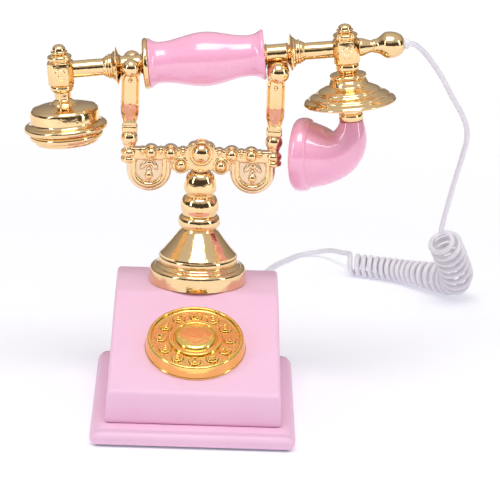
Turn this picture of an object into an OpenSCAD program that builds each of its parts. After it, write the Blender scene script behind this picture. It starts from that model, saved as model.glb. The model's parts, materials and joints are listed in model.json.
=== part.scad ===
// Cradle telephone: stepped desk base, push-button dial, turned pedestal,
// cast cradle and a two-armed handset with a curly cord.
// Origin: middle of the base on the table, +X to the transmitter, +Y to the back, +Z up.

/* [Base] */
// Width of the plinth over its foot
plinth_w = 140; // [125:1:165]
// Depth of the plinth, front to back
plinth_d = 190; // [182:1:220]
// Height of the plinth's top face above the table
plinth_h = 12; // [11:0.5:18]
// Corner radius of the plinth in plan
plinth_r = 6; // [6:0.5:10]
// Inward lean of the plinth's sides from foot to top
plinth_lean = 1.4; // [0:0.1:2.4]
// Rounding of the plinth's top edge
plinth_round = 1.8; // [1:0.1:2.4]
// Wall of the mouldings
wall = 2.6; // [2:0.1:3.5]
// Thickness of the base plate
floor_t = 2.4; // [2:0.1:3.5]
// Diameter of a rubber foot
foot_d = 14; // [10:0.5:18]
// Height that a foot stands proud of the base plate
foot_h = 1; // [0.8:0.1:2]

/* [Housing] */
// Width of the housing where it meets the plinth
housing_w = 119.4; // [112:0.5:124]
// Width of the housing along its top edges
housing_top_w = 114; // [108:0.5:118]
// Depth of the housing, front face to back face
housing_d = 161.5; // [155:0.5:170]
// Step of the plinth in front of the housing
front_step = 18.5; // [12:0.5:20]
// Height of the front face above the plinth
front_h = 22.5; // [18:0.5:28]
// Height of the flat top above the plinth
body_h = 65.5; // [60:0.5:75]
// Depth of the flat top that carries the pedestal
flat_d = 63; // [60:0.5:75]
// Edge radius of the housing
edge_r = 3; // [2:0.25:4]

/* [Dial] */
// Diameter of the dial's foot on the slope
dial_d = 69.2; // [68:0.2:76]
// How far the dial's wall leans in from foot to rim
dial_lean = 1.6; // [0.5:0.1:3]
// Height of the dial's rim above the slope
dial_h = 9.5; // [8.5:0.1:11]
// Distance of the dial's centre down the slope from the crease
dial_down = 59.2; // [50:0.2:64]
// Diameter of a key's cap
key_d = 8.4; // [7:0.1:9]
// How far a key goes down
key_travel = 1.8; // [1.2:0.1:2]
// Height of a key's cap above the face plate
key_proud = 2; // [1.9:0.1:2.4]

/* [Pedestal] */
// Distance of the pedestal's axis from the housing's back face
column_back = 34.2; // [34:0.2:40]
// Diameter of the pedestal's foot ring
ring_d = 67.6; // [60:0.2:68]
// Height of the foot ring's wall
ring_h = 8.4; // [7:0.1:10]
// Diameter at the foot of the cone
cone_d = 54.5; // [48:0.5:56]
// Diameter at the top of the cone
cone_top_d = 25; // [22:0.5:28]
// Height of the pedestal's foot, ring and cone together
cone_h = 36.8; // [34:0.2:42]
// Diameter of the collar bead above the cone
collar_d = 30.2; // [28:0.2:34]
// Diameter of the lower bulb of the column
bulb_d = 27.2; // [24:0.2:29]
// Diameter of the waist between the bulbs
waist_d = 19.4; // [18:0.2:22]
// Diameter of the upper bulb of the column
upper_bulb_d = 22.4; // [21:0.2:25]
// Height of the column above the cone
column_h = 42.7; // [42:0.1:48]

/* [Cradle] */
// Distance between the two arms, middle to middle
arm_span = 100.8; // [98:0.2:106]
// Thickness of the cradle's plate, front to back
plate_t = 10; // [9:0.5:13]
// Height of the bead row above the cradle's lowest lobe
bead_row_up = 28; // [26:0.2:30]
// Distance of each hanging lobe from the middle
lobe_x = 36.2; // [35.5:0.2:37]
// Outer radius of a hanging lobe
lobe_r = 15.8; // [15:0.1:16]
// Height of the prong beads above the bead row
prong_up = 62.4; // [58:0.2:66]
// Radius of the bead that ends each prong of the receiver's fork
prong_bead_r = 6.4; // [6:0.1:6.6]
// Radius of the larger beads that carry the transmitter end's neck
rest_bead_r = 7.8; // [7.2:0.1:7.9]
// Half the distance between the transmitter end's two prong beads
close_bead_y = 8.8; // [8.6:0.1:9.6]
// How far the cradle springs up when the handset is lifted
hook_travel = 5; // [3:0.5:6]

/* [Handset] */
// Least radius of the two necks that lie in the cradle
neck_waist_r = 6.7; // [6.2:0.1:7.2]
// Length of each neck, from the grip to the ferrule's ridge
neck_l = 16.8; // [16.4:0.1:18]
// Greatest radius of the grip
grip_r = 19; // [17:0.2:20]
// Radius of the grip's waists beside the end flanges
grip_waist_r = 14.4; // [13:0.2:16]
// Radius of the grip's end flanges
flange_r = 17.6; // [16:0.2:18]
// Thickness of the ring at the receiver end of the grip
ring_t = 4; // [3:0.2:5]
// Radius of the sharp ridge on each ferrule
ridge_r = 13.3; // [12:0.1:14]
// Radius of the two arm tubes
arm_r = 6; // [5.2:0.1:6.6]
// Distance of the receiver's axis from the middle
receiver_s = 100; // [96:0.5:110]
// Distance of the transmitter's axis from the middle
transmitter_s = 98.7; // [96:0.5:110]
// Width of the blocks that carry receiver and transmitter
block_w = 18; // [16:0.2:20]
// Radius of the receiver's shell
cup_r = 24.2; // [22:0.2:26]
// Radius of the receiver cap's flange
cap_flange_r = 29.3; // [28.4:0.2:32]
// Radius of the transmitter bell's rim
bell_r = 32.5; // [30:0.2:36]
// Radius of the horn's neck
horn_neck_r = 8.3; // [7.5:0.1:9]
// Radius of the horn where it meets its lip
horn_mouth_r = 23.5; // [21:0.2:25]
// Radius of the horn's lip
lip_r = 26; // [25.4:0.2:28]
// Wall of the horn
horn_wall = 2.2; // [1.8:0.1:3]
// Radius of the bulb at the cord end of the handset
bulb_r = 9.4; // [8:0.2:11]

/* [Cord] */
// Diameter of the cord
cord_d = 4; // [3.6:0.1:4.4]
// Outer radius of the curly stretch where it hangs
curl_wide_r = 13.8; // [12:0.1:14]
// Outer radius of the curly stretch where it lies on the table
curl_r = 9.2; // [8.5:0.1:9.4]

/* [Fits] */
// Gap round a part that slides
slide_gap = 0.25; // [0.2:0.01:0.35]
// Gap round a part that is fixed in its seat
seat_gap = 0.1; // [0.05:0.01:0.2]
// Gap between the handset and the cradle at rest
rest_gap = 0.3; // [0.2:0.05:0.5]

/* [Hidden] */
$fn = 64;

pink = [0.96, 0.76, 0.87];
rose = [0.98, 0.62, 0.8];
gold = [0.93, 0.72, 0.33];
steel = [0.7, 0.71, 0.73];
dark = [0.2, 0.2, 0.22];
white = [0.95, 0.95, 0.97];

// Planes of the base
y_front = -plinth_d / 2 + front_step;
y_back = y_front + housing_d;
y_crease = y_back - flat_d;
z_front = plinth_h + front_h;
z_top = plinth_h + body_h;
z_roof = z_top - wall;
slope_a = atan2(z_top - z_front, y_crease - y_front);
column_y = y_back - column_back;
front_lean = 0.8;
boss_r = 4;
boss_bore_r = 1.3;
boss_bore_l = 12;
boss_inset = wall + boss_r + 4;
boss_back_inset = boss_inset + 6;
boss_x = housing_top_w / 2 - boss_inset;
boss_places = [for (side = [-1, 1], y = [y_front + boss_inset, y_back - boss_back_inset]) [side * boss_x, y]];
cavity_w = plinth_w - 2 * (wall + plinth_lean);
cavity_d = plinth_d - 2 * (wall + plinth_lean);
lip_h = 2;
lip_t = 2;
lip_w = housing_w - 2 * wall - 0.6;
lip_d = housing_d - 2 * wall - 0.4;
plate_top = foot_h + floor_t;
screw_head_r = 2.8;
screw_head_h = 1.2;
screw_r = 1.2;
foot_seat = 1;
foot_x = plinth_w / 2 - foot_d / 2 - 8;
foot_y = plinth_d / 2 - foot_d / 2 - 8;
foot_places = [[0, 0], [-foot_x, -foot_y], [foot_x, -foot_y], [-foot_x, foot_y], [foot_x, foot_y]];
standoff_h = 5;
standoff_r = 3;
standoff_x = 30;
board_w = 70;
board_l = 80;
board_t = 1.6;
ballast_l = 84;
ballast_b = 34;
ballast_h = 9;
ballast_y = column_y + 2;
board_gap = 7.8;
board_y = ballast_y - ballast_b / 2 - board_gap - board_l / 2;
chip_w = 12;
chip_l = 18;
chip_h = 5;
relay_l = 16;
relay_w = 10;
relay_h = 4;
big_cap_r = 4;
big_cap_h = 10;
small_cap_r = 3;
small_cap_h = 8;

// Rear wall fittings
socket_w = 15;
socket_flange = 1.5;
socket_x = -(boss_x - boss_r - 0.4 - socket_flange - socket_w / 2);
socket_h = 13;
socket_l = 15;
socket_z = plinth_h + 15;
socket_nose = 1.2;
socket_mouth_w = 11;
socket_mouth_h = 8;
socket_mouth_l = 12;
grommet_x = 30;
grommet_z = plinth_h + 9;
grommet_r = 4.9;
grommet_flange_r = 6.6;
grommet_flange_t = 1.5;
cord_bore_r = cord_d / 2 + 0.1;

// Dial and keypad, measured along the slope's normal
dial_y = y_crease - dial_down * cos(slope_a);
dial_z = z_top - dial_down * sin(slope_a);
dial_r = dial_d / 2;
rim_r = dial_r - dial_lean;
spigot_r = dial_r - 3.2;
spigot_l = 3;
dial_bore_r = spigot_r - 1.7;
lip_inner_r = dial_bore_r - 1.5;
face_t = 1.6;
face_z = dial_h - 2.1 - face_t;
face_top = face_z + face_t;
face_r = dial_bore_r - seat_gap;
face_skirt = 0.7;
flange_lap = 0.9;
key_flange_r = key_d / 2 + flange_lap;
key_flange_t = 1;
key_flange_z = face_z - 0.2 - key_flange_t;
key_circle_r = face_r - face_skirt - slide_gap - key_flange_r;
key_stem_r = 2.2;
key_stem_l = 3.6;
key_foot_z = key_flange_z - key_stem_l;
hub_r = key_circle_r - key_d / 2 - slide_gap - 0.4;
hub_pin_r = 5;
hub_h = 1.9;
board_disc_t = 1.6;
mat_t = 1;
mat_dome_r = 3;
mat_dome_top = key_foot_z - key_travel - 0.1;
KEYS = ["key_1", "key_2", "key_3", "key_4", "key_5", "key_6",
    "key_7", "key_8", "key_9", "key_0", "key_hash", "key_star"];

// Pedestal, measured up from the housing's top
shank_r = 8.2;
chamber_r = 6.2;
stem_r = 3.2;
guide_r = stem_r + slide_gap;
nut_r = 14;
nut_h = 8;
nut_floor = 2;
shank_l = wall + nut_h - nut_floor;
guide_l = 7.3;
stem_collar_r = chamber_r - 0.35;
stem_collar_t = 1.6;
spring_wire_r = 0.6;
spring_r = 4.8;
spring_turns = 9;
column_top = z_top + cone_h + column_h;
chamber_top = column_top - guide_l;
chamber_foot = z_roof - nut_h + nut_floor;
stem_collar_z = chamber_top - hook_travel - 0.2 - stem_collar_t;
stem_tail = 6;
stem_socket_l = 9;
switch_gap = 0.3;

// Cradle, measured from the row of beads on its bar
collar_l = 1.5;
block_foot = 11.4;
bead_z = column_top + rest_gap + collar_l + block_foot;
arm_x = arm_span / 2;
lobe_drop = bead_row_up - lobe_r;
lobe_band = 5.4;
// Bosses along each half of the bar: place along x and z, radius of the boss, radius of its bead
row_bosses = [[12.8, 1, 3.4, 1.8], [14, -8, 6.4, 4.4], [21.3, 0, 5.9, 4.6], [28.2, 1, 2.9, 1.6],
    [lobe_x - 1.2, 0, 5.5, 4.2], [arm_x - 9.4, 0.6, 3, 1.7]];
bar_top = 3.4;
bar_foot = 9;
corner_r = 5.9;
corner_drop = 2.7;
web_t = 4.4;
arm_bead_up = 9.2;
arm_bead_r = 6;
arm_block_z = 13;
arm_block_h = 6.4;
arm_block_w = 11.8;
fork_foot = arm_block_z + arm_block_h;
fork_w = 12.6;
fork_foot_w = 9;
fork_pin_r = 3;
fork_pin_l = 5;
prong_z = bead_z + prong_up;
open_sink = 0.7;
drop_z = prong_z - open_sink;
rest_low = 1.4;
rest_rise = sqrt(pow(neck_waist_r + rest_bead_r + rest_gap, 2) - pow(close_bead_y, 2));
rest_z = prong_z - rest_low + rest_rise;
tilt = atan2(rest_z - drop_z, arm_span);
neck_flare = 3.4;
neck_flare_power = 14;
fork_edge_s = fork_w / 2 / cos(tilt) + (neck_waist_r + neck_flare) * tan(tilt);
fork_edge_flare = neck_flare * pow(2 * fork_edge_s / neck_l, neck_flare_power);
open_r = neck_waist_r + fork_edge_flare + rest_gap;
open_bead_y = open_r + prong_bead_r;

// Handset, measured along its own axis from the middle
handset_z = (rest_z + drop_z) / 2;
rest_bead_x = rest_rise * sin(tilt);
neck_s = arm_x / cos(tilt);
grip_end = neck_s - neck_l / 2;
ridge_s = neck_s + neck_l / 2;
ridge_l = 2.8;
ferrule_end = ridge_s + ridge_l + 8.2;
rod_r = 2.5;
rod_bore_r = rod_r + seat_gap;
rod_thread_l = 10;
block_top = 6;
block_bottom = -9.6;
block_cut = 4;
shell_neck_top = block_bottom;
shell_top = -24;
shell_bottom = -38;
cap_flange_t = 5;
cap_step_t = 4;
cap_h = 13;
cap_seat = 3;
shell_wall = 2.2;
capsule_r = 19;
capsule_h = 12;
capsule_rim_h = 9;
capsule_top_r = 15;
bell_bottom = -38.5;
bell_wall = 2;
plate_disc_t = 2;
collar_top = -45.6;
collar_h = 6;
horn_yaw = 14;
lip_l = 12;
HORN_CURVE = [[0, -51.6], [0, -68], [-8, -77.6], [-30.6, -75.9]];
horn_rings = 14;
horn_sides = 28;
tail_l = 31.3;
tail_neck_l = 10.5;
relief_l = 3.5;
tail_end = transmitter_s + block_w / 2 + tail_l;

// Cord route: the upper stretch in the air, the curly stretch, the stretch to the grommet
UPPER_ROUTE = [[148, 57, 250], [162, 68, 233], [176, 86, 208], [186, 101, 189], [190, 115, 174],
    [189, 135, 154], [187, 162, 131], [185, 205, 98], [184, 240, 72]];
CURLY_ROUTE = [[185, 254.6, 62], [190.1, 264.3, 49.4], [195.2, 274, 36.8], [200.1, 283.5, 24.6],
    [200.4, 291.6, 17.4], [194.3, 300.2, 14.4], [178.5, 315, 12.6], [161, 332, 10.8], [142, 343, 9.8],
    [122, 350, 9.8]];
LOWER_ROUTE = [[111, 356, 14], [107, 376, 13], [104, 397, 7], [97, 412, 3], [85, 404, 2.4],
    [72, 384, 2.4], [60, 362, 2.4], [51, 330, 2.4], [46, 285, 2.4], [43, 240, 2.4],
    [39, 190, 2.4], [35, 150, 2.4], [32, 122, 6], [30.5, 104, 15]];
cord_step = 12;
cord_sides = 8;
curl_sides = 12;

function unit(v) = v / norm(v);
function ease(t) = (1 - cos(180 * t)) / 2;

// Points of a half-round bead in a turned profile, from z0 up to z1
function bead(r, z0, z1, swell, n = 8) =
    [for (i = [0:n]) [r + swell * sin(180 * i / n), (z0 + z1) / 2 - (z1 - z0) / 2 * cos(180 * i / n)]];

// Points that swing smoothly from one radius to another in a turned profile
function swing(r0, z0, r1, z1, n = 8) =
    [for (i = [0:n]) [r0 + (r1 - r0) * ease(i / n), z0 + (z1 - z0) * i / n]];

// Points of an end that flares out of a waist, from the end to the waist
function flare(r_end, z_end, r_waist, z_waist, n = 8) =
    [for (i = [0:n]) [r_waist + (r_end - r_waist) * pow(1 - i / n, 2), z_end + (z_waist - z_end) * i / n]];
function reversed(list) = [for (i = [len(list) - 1:-1:0]) list[i]];

// Points of a quarter-round corner in a turned profile
function corner(r, z, radius, a0, n = 4) =
    [for (i = [0:n]) [r + radius * cos(a0 + 90 * i / n), z + radius * sin(a0 + 90 * i / n)]];

function steps(pts, i) = max(1, round(norm(pts[i + 1] - pts[i]) / cord_step));
function ring_of(pts, k) = k == 0 ? 0 : ring_of(pts, k - 1) + steps(pts, k - 1);
function spline_at(a, b, c, d, t) =
    (2 * b + (c - a) * t + (2 * a - 5 * b + 4 * c - d) * t * t + (3 * b - a - 3 * c + d) * t * t * t) / 2;
function spline(pts) = let (last = len(pts) - 1) concat(
    [for (i = [0:last - 1]) let (n = steps(pts, i), a = pts[max(i - 1, 0)], d = pts[min(i + 2, last)])
        for (k = [0:n - 1]) spline_at(a, pts[i], pts[i + 1], d, k / n)],
    [pts[last]]);
function tangents(pts) = let (last = len(pts) - 1)
    [for (i = [0:last]) unit(pts[min(i + 1, last)] - pts[max(i - 1, 0)])];
function part_of(list, a, b) = [for (i = [a:b]) list[i]];

// A direction square to the first tangent, carried along the rest without twisting
function carried(t, i, n) = let (m = unit(n - (n * t[i]) * t[i]))
    i == len(t) - 1 ? [m] : concat([m], carried(t, i + 1, m));

// A solid that follows a line of points, with one radius for each point
module sweep(pts, dirs, radii, sides, start = [0, 0, 1]) {
    across = carried(dirs, 0, start);
    rings = [for (i = [0:len(pts) - 1], k = [0:sides - 1])
        let (a = 360 * (k + 0.5) / sides, out = cross(dirs[i], across[i]))
        pts[i] + radii[i] * (cos(a) * across[i] + sin(a) * out)];
    skin = [for (i = [0:len(pts) - 2], k = [0:sides - 1]) let (next = (k + 1) % sides)
        [i * sides + k, (i + 1) * sides + k, (i + 1) * sides + next, i * sides + next]];
    first = [for (k = [0:sides - 1]) k];
    last = [for (k = [sides - 1:-1:0]) (len(pts) - 1) * sides + k];
    polyhedron(concat(rings), concat(skin, [first, last]), convexity = 6);
}

module turned(profile) {
    rotate_extrude() polygon(profile);
}

// A block with rounded upright corners, from z0 up
module tray(w, d, r, z0, h) {
    translate([0, 0, z0]) linear_extrude(h) {
        square([w - 2 * r, d], center = true);
        square([w, d - 2 * r], center = true);
        for (x = [-1, 1], y = [-1, 1]) translate([x * (w / 2 - r), y * (d / 2 - r)]) circle(r);
    }
}

module at_housing_middle() {
    translate([0, (y_front + y_back) / 2, 0]) children();
}

module at_column() {
    translate([0, column_y, 0]) children();
}

module on_slope() {
    translate([0, dial_y, dial_z]) rotate([slope_a, 0, 0]) children();
}

module in_cradle() {
    translate([0, column_y, bead_z]) children();
}

module in_handset() {
    translate([0, column_y, handset_z]) rotate([0, -tilt, 0]) children();
}

// Lays a turned part along the handset's axis
module along() {
    in_handset() rotate([0, 90, 0]) children();
}

module at_receiver() {
    in_handset() translate([-receiver_s, 0, 0]) children();
}

module at_transmitter() {
    in_handset() translate([transmitter_s, 0, 0]) children();
}

// Base

module plinth() {
    color(pink) {
        difference() {
            hull() for (x = [-1, 1], y = [-1, 1])
                translate([x * (plinth_w / 2 - plinth_r), y * (plinth_d / 2 - plinth_r), 0]) {
                    translate([0, 0, foot_h]) cylinder(r = plinth_r, h = 0.1, $fn = 32);
                    for (a = [0:30:90])
                        translate([0, 0, plinth_h - plinth_round + plinth_round * sin(a) - 0.1])
                            cylinder(r = plinth_r - plinth_lean - plinth_round * (1 - cos(a)), h = 0.1, $fn = 32);
                }
            tray(cavity_w, cavity_d, 3, foot_h - 1, plinth_h - wall - foot_h + 1);
            at_housing_middle() tray(lip_w - 2 * lip_t, lip_d - 2 * lip_t, 1, 0, plinth_h + 1);
        }
        at_housing_middle() difference() {
            tray(lip_w, lip_d, 1.5, plinth_h - 1, lip_h + 1);
            tray(lip_w - 2 * lip_t, lip_d - 2 * lip_t, 1, plinth_h - 2, lip_h + 3);
        }
    }
}

module base_plate() {
    color(dark) difference() {
        union() {
            tray(cavity_w - 2 * slide_gap, cavity_d - 2 * slide_gap, 3 - slide_gap, foot_h, floor_t);
            for (x = [-1, 1], y = [-1, 1])
                translate([x * standoff_x, board_y + y * (board_l / 2 - 5), plate_top])
                    cylinder(r = standoff_r, h = standoff_h);
        }
        for (at = boss_places) translate([at[0], at[1], 0]) {
            cylinder(r = screw_r + seat_gap, h = plate_top + 1);
            cylinder(r = screw_head_r + seat_gap, h = foot_h + screw_head_h);
        }
        for (at = foot_places) translate([at[0], at[1], 0]) cylinder(d = foot_d, h = foot_h + foot_seat);
        for (i = [-4:4]) translate([i * 6 - 1.2, -plinth_d / 2 + 34, 0]) cube([2.4, 22, plate_top + 1]);
    }
}

module rubber_feet() {
    color(dark) for (at = foot_places) translate([at[0], at[1], 0])
        turned([[0, 0], [foot_d / 2 - 1, 0], [foot_d / 2, foot_h], [foot_d / 2, foot_h + foot_seat],
            [0, foot_h + foot_seat]]);
}

module base_screws() {
    color(steel) for (at = boss_places) translate([at[0], at[1], foot_h]) difference() {
        union() {
            cylinder(r = screw_head_r, h = screw_head_h);
            cylinder(r = screw_r, h = floor_t + boss_bore_l - 1);
        }
        cube([0.8, 2 * screw_head_r - 1.2, 1.2], center = true);
    }
}

function half_w(z) = (housing_w - (housing_w - housing_top_w) * (z - plinth_h) / body_h) / 2;

// The wedge of the housing, moved in by inset and with rounded edges
module wedge(inset, round_r, foot_z) {
    d = inset + round_r;
    hull() for (side = [-1, 1]) {
        for (y = [y_front - front_lean + d, y_back - d])
            translate([side * (half_w(plinth_h) - d), y, foot_z]) cylinder(r = round_r, h = 0.5, $fn = 32);
        translate([side * (half_w(z_top) - d), y_back - d, z_top - d]) sphere(r = round_r, $fn = 32);
        translate([side * (half_w(z_top) - d), y_crease + d * tan(slope_a / 2), z_top - d])
            sphere(r = round_r, $fn = 32);
        translate([side * (half_w(z_front) - d), y_front + d, z_front - d * (1 - sin(slope_a)) / cos(slope_a)])
            sphere(r = round_r, $fn = 32);
    }
}

module housing() {
    color(pink) difference() {
        union() {
            difference() {
                wedge(0, edge_r, plinth_h);
                wedge(wall, max(edge_r - wall, 0.3), plinth_h - 1);
            }
            intersection() {
                for (at = boss_places) translate([at[0], at[1], plate_top]) cylinder(r = boss_r, h = z_top);
                union() {
                    wedge(wall / 2, 1, plinth_h);
                    tray(cavity_w, cavity_d, 3, 0, plinth_h + 1);
                }
            }
        }
        for (at = boss_places) translate([at[0], at[1], plate_top - 1])
            cylinder(r = boss_bore_r, h = boss_bore_l + 1);
        on_slope() cylinder(r = spigot_r + seat_gap, h = 20, center = true);
        at_column() translate([0, 0, z_top - 10]) cylinder(r = shank_r + seat_gap, h = 20);
        translate([grommet_x, y_back - 8, grommet_z]) rotate([-90, 0, 0])
            cylinder(r = grommet_r + seat_gap, h = 16);
        translate([socket_x, y_back, socket_z])
            cube([socket_w + 2 * seat_gap, 16, socket_h + 2 * seat_gap], center = true);
    }
}

module ballast_weight() {
    color(steel) translate([0, ballast_y, plate_top + ballast_h / 2])
        cube([ballast_l, ballast_b, ballast_h], center = true);
}

module circuit_board() {
    color([0.15, 0.4, 0.25]) translate([0, board_y, plate_top + standoff_h]) {
        translate([-board_w / 2, -board_l / 2, 0]) cube([board_w, board_l, board_t]);
        translate([board_w / 5, board_l / 8, board_t]) cube([chip_w, chip_l, chip_h]);
        translate([-board_w * 2 / 5, board_l / 6, board_t]) cube([relay_l, relay_w, relay_h]);
        translate([board_w * 2 / 7, -board_l / 3, board_t]) cylinder(r = big_cap_r, h = big_cap_h);
        translate([board_w / 9, -board_l / 3, board_t]) cylinder(r = small_cap_r, h = small_cap_h);
    }
}

module ringer() {
    color(dark) translate([-14, board_y - 20, plate_top + standoff_h + board_t]) difference() {
        cylinder(r = 12, h = 8);
        translate([0, 0, 5]) cylinder(r = 2, h = 4);
    }
}

module line_socket() {
    color(dark) translate([socket_x, y_back + socket_nose, socket_z]) difference() {
        union() {
            translate([-socket_w / 2, -wall - socket_nose - 0.1, -socket_h / 2])
                cube([socket_w, wall + socket_nose + 0.1, socket_h]);
            translate([-socket_w / 2 - socket_flange, -socket_l, -socket_h / 2 - socket_flange])
                cube([socket_w + 2 * socket_flange, socket_l - wall - socket_nose, socket_h + 2 * socket_flange]);
        }
        translate([-socket_mouth_w / 2, -socket_mouth_l, -socket_mouth_h / 2])
            cube([socket_mouth_w, socket_mouth_l + 1, socket_mouth_h]);
    }
}

module cord_grommet() {
    color(white) translate([grommet_x, y_back, grommet_z]) rotate([-90, 0, 0]) turned([
        [cord_bore_r, -wall - 1.2], [grommet_r, -wall - 1.2], [grommet_r, 0], [grommet_flange_r, 0],
        [grommet_flange_r, grommet_flange_t - 0.5], [grommet_flange_r - 0.5, grommet_flange_t],
        [cord_bore_r, grommet_flange_t]]);
}

// Changeover switch under the stem, on a bridge that hangs from the housing's roof
module hook_switch() {
    leg_x = nut_r + 4;
    bridge_z = z_roof - nut_h - stem_tail - switch_gap - 12;
    color(dark) at_column() {
        for (side = [-1, 1]) translate([side * leg_x - 1, -5, bridge_z]) cube([2, 10, z_roof - bridge_z]);
        translate([-leg_x, -5, bridge_z]) cube([2 * leg_x, 10, 2]);
        translate([-8, -4, bridge_z]) cube([16, 8, 9]);
        translate([0, 0, bridge_z]) cylinder(r = 2.2, h = 12);
    }
}

// Dial

module dial_body() {
    color(gold) on_slope() turned(concat(
        [[dial_bore_r, -spigot_l], [spigot_r, -spigot_l], [spigot_r, 0], [dial_r, 0], [dial_r, 1]],
        corner(rim_r - 1.6, dial_h - 1.6, 1.6, 0),
        corner(lip_inner_r + 1.2, dial_h - 1.2, 1.2, 90),
        [[lip_inner_r, face_top], [dial_bore_r, face_top]]));
}

module at_keys() {
    on_slope() for (i = [0:11]) rotate(30 * i) translate([key_circle_r, 0, 0]) children();
}

module dial_face() {
    color(gold) difference() {
        on_slope() turned([[hub_pin_r + seat_gap, face_z], [face_r - face_skirt, face_z],
            [face_r - face_skirt, -spigot_l], [face_r, -spigot_l], [face_r, face_top],
            [hub_pin_r + seat_gap, face_top]]);
        at_keys() translate([0, 0, face_z - 1]) cylinder(r = key_d / 2 + slide_gap, h = face_t + 2, $fn = 48);
    }
}

// Raised ring and dished middle of the dial
module dial_hub() {
    ring_w = 4.8;
    dish_r = hub_r - ring_w;
    color(gold) on_slope() turned(concat(
        [[0, face_z], [hub_pin_r, face_z], [hub_pin_r, face_top], [hub_r, face_top],
            [hub_r, face_top + hub_h - 0.8]],
        corner(hub_r - 0.8, face_top + hub_h - 0.8, 0.8, 0),
        corner(dish_r + 0.8, face_top + hub_h - 0.8, 0.8, 90),
        [for (i = [0:6]) let (t = i / 6) [dish_r * (1 - t), face_top + 0.5 + 0.7 * (1 - t) * (1 - t)]]));
}

module keypad_board() {
    color([0.15, 0.4, 0.25]) on_slope() translate([0, 0, -spigot_l - board_disc_t])
        cylinder(r = spigot_r, h = board_disc_t);
}

module keypad_mat() {
    color(steel) {
        on_slope() translate([0, 0, -spigot_l]) cylinder(r = face_r - face_skirt - seat_gap, h = mat_t);
        at_keys() translate([0, 0, -spigot_l]) cylinder(r = mat_dome_r, h = mat_dome_top + spigot_l, $fn = 32);
    }
}

// Keys run anticlockwise from three o'clock, a quarter of the circle for each three
module dial_key(name) {
    i = search([name], KEYS)[0];
    top = face_top + key_proud;
    cap_r = key_d / 2;
    color(gold) on_slope() rotate(30 * i) translate([key_circle_r, 0, 0]) turned(concat(
        [[0, key_foot_z], [key_stem_r, key_foot_z], [key_stem_r, key_flange_z], [key_flange_r, key_flange_z],
            [key_flange_r, key_flange_z + key_flange_t], [cap_r, key_flange_z + key_flange_t]],
        corner(cap_r - 0.5, top - 0.5, 0.5, 0, 2),
        [for (k = [0:4]) let (t = k / 4) [(cap_r - 0.9) * (1 - t), top - 0.5 * (1 - (1 - t) * (1 - t))]]));
}

// Pedestal

// Hollow foot: a rounded ring, a shoulder and a cone
module pedestal_foot() {
    ring_r = ring_d / 2;
    cone_r = cone_d / 2;
    neck_r = cone_top_d / 2;
    shoulder_z = ring_h + 4.2;
    color(gold) at_column() translate([0, 0, z_top]) turned(concat(
        [[ring_r - 1.8, 0], [ring_r, 0]],
        corner(ring_r - 3, ring_h - 3, 3, 0, 6),
        [for (i = [1:4]) let (t = i / 4) [ring_r - 3 - (ring_r - 3 - cone_r) * sin(90 * t),
            ring_h + (shoulder_z - ring_h) * (1 - cos(90 * t))]],
        [for (i = [1:8]) let (t = i / 8) [cone_r - (cone_r - neck_r) * pow(t, 0.92),
            shoulder_z + (cone_h - shoulder_z) * t]],
        [[shank_r + seat_gap, cone_h], [shank_r + seat_gap, cone_h - 4], [neck_r - 0.4, cone_h - 4],
            [cone_r - 2.4, shoulder_z], [ring_r - 4.6, ring_h - 1.8], [ring_r - 1.8, ring_h - 4]]));
}

// Turned column: collar bead, lower bulb, waist, upper bulb and top, on a long shank
module pedestal_column() {
    neck_r = cone_top_d / 2;
    bulb_r = bulb_d / 2;
    waist_r = waist_d / 2;
    upper_r = upper_bulb_d / 2;
    foot_z = z_top + cone_h;
    collar_r = collar_d / 2;
    color(gold) at_column() turned(concat(
        [[guide_r, column_top], [guide_r, chamber_top], [chamber_r, chamber_top],
            [chamber_r, z_top - shank_l], [shank_r, z_top - shank_l], [shank_r, foot_z],
            [neck_r, foot_z], [neck_r, foot_z + 1.2], [neck_r - 1.7, foot_z + 2.4]],
        bead(collar_r - 4.5, foot_z + 2.6, foot_z + 11.4, 4.5, 10),
        swing(neck_r - 1.7, foot_z + 11.6, bulb_r, foot_z + 16.6, 8),
        swing(bulb_r, foot_z + 17, waist_r, foot_z + 24, 10),
        swing(waist_r, foot_z + 25, upper_r, foot_z + 33, 8),
        swing(upper_r, foot_z + 33.6, upper_r - 2.3, column_top - 1.6, 8),
        [[upper_r - 2.1, column_top - 1.2], [upper_r - 2.1, column_top]]));
}

module pedestal_nut() {
    color(steel) at_column() translate([0, 0, z_roof - nut_h]) difference() {
        cylinder(r = nut_r, h = nut_h, $fn = 6);
        cylinder(r = guide_r, h = 2 * nut_h, center = true);
        translate([0, 0, nut_floor]) cylinder(r = shank_r + seat_gap, h = nut_h);
    }
}

// Return spring between the nut's floor and the stem's collar
module hook_spring() {
    z0 = chamber_foot + spring_wire_r + 0.1;
    z1 = stem_collar_z - spring_wire_r - 0.1;
    seg = 10;
    turns = spring_turns * seg;
    line = [for (i = [0:turns]) [spring_r * cos(360 * i / seg), spring_r * sin(360 * i / seg),
        z0 + (z1 - z0) * ease(i / turns) * 0.2 + (z1 - z0) * i / turns * 0.8]];
    color(steel) at_column()
        sweep(line, tangents(line), [for (p = line) spring_wire_r], 5, [1, 0, 0]);
}

// Cradle

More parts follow.
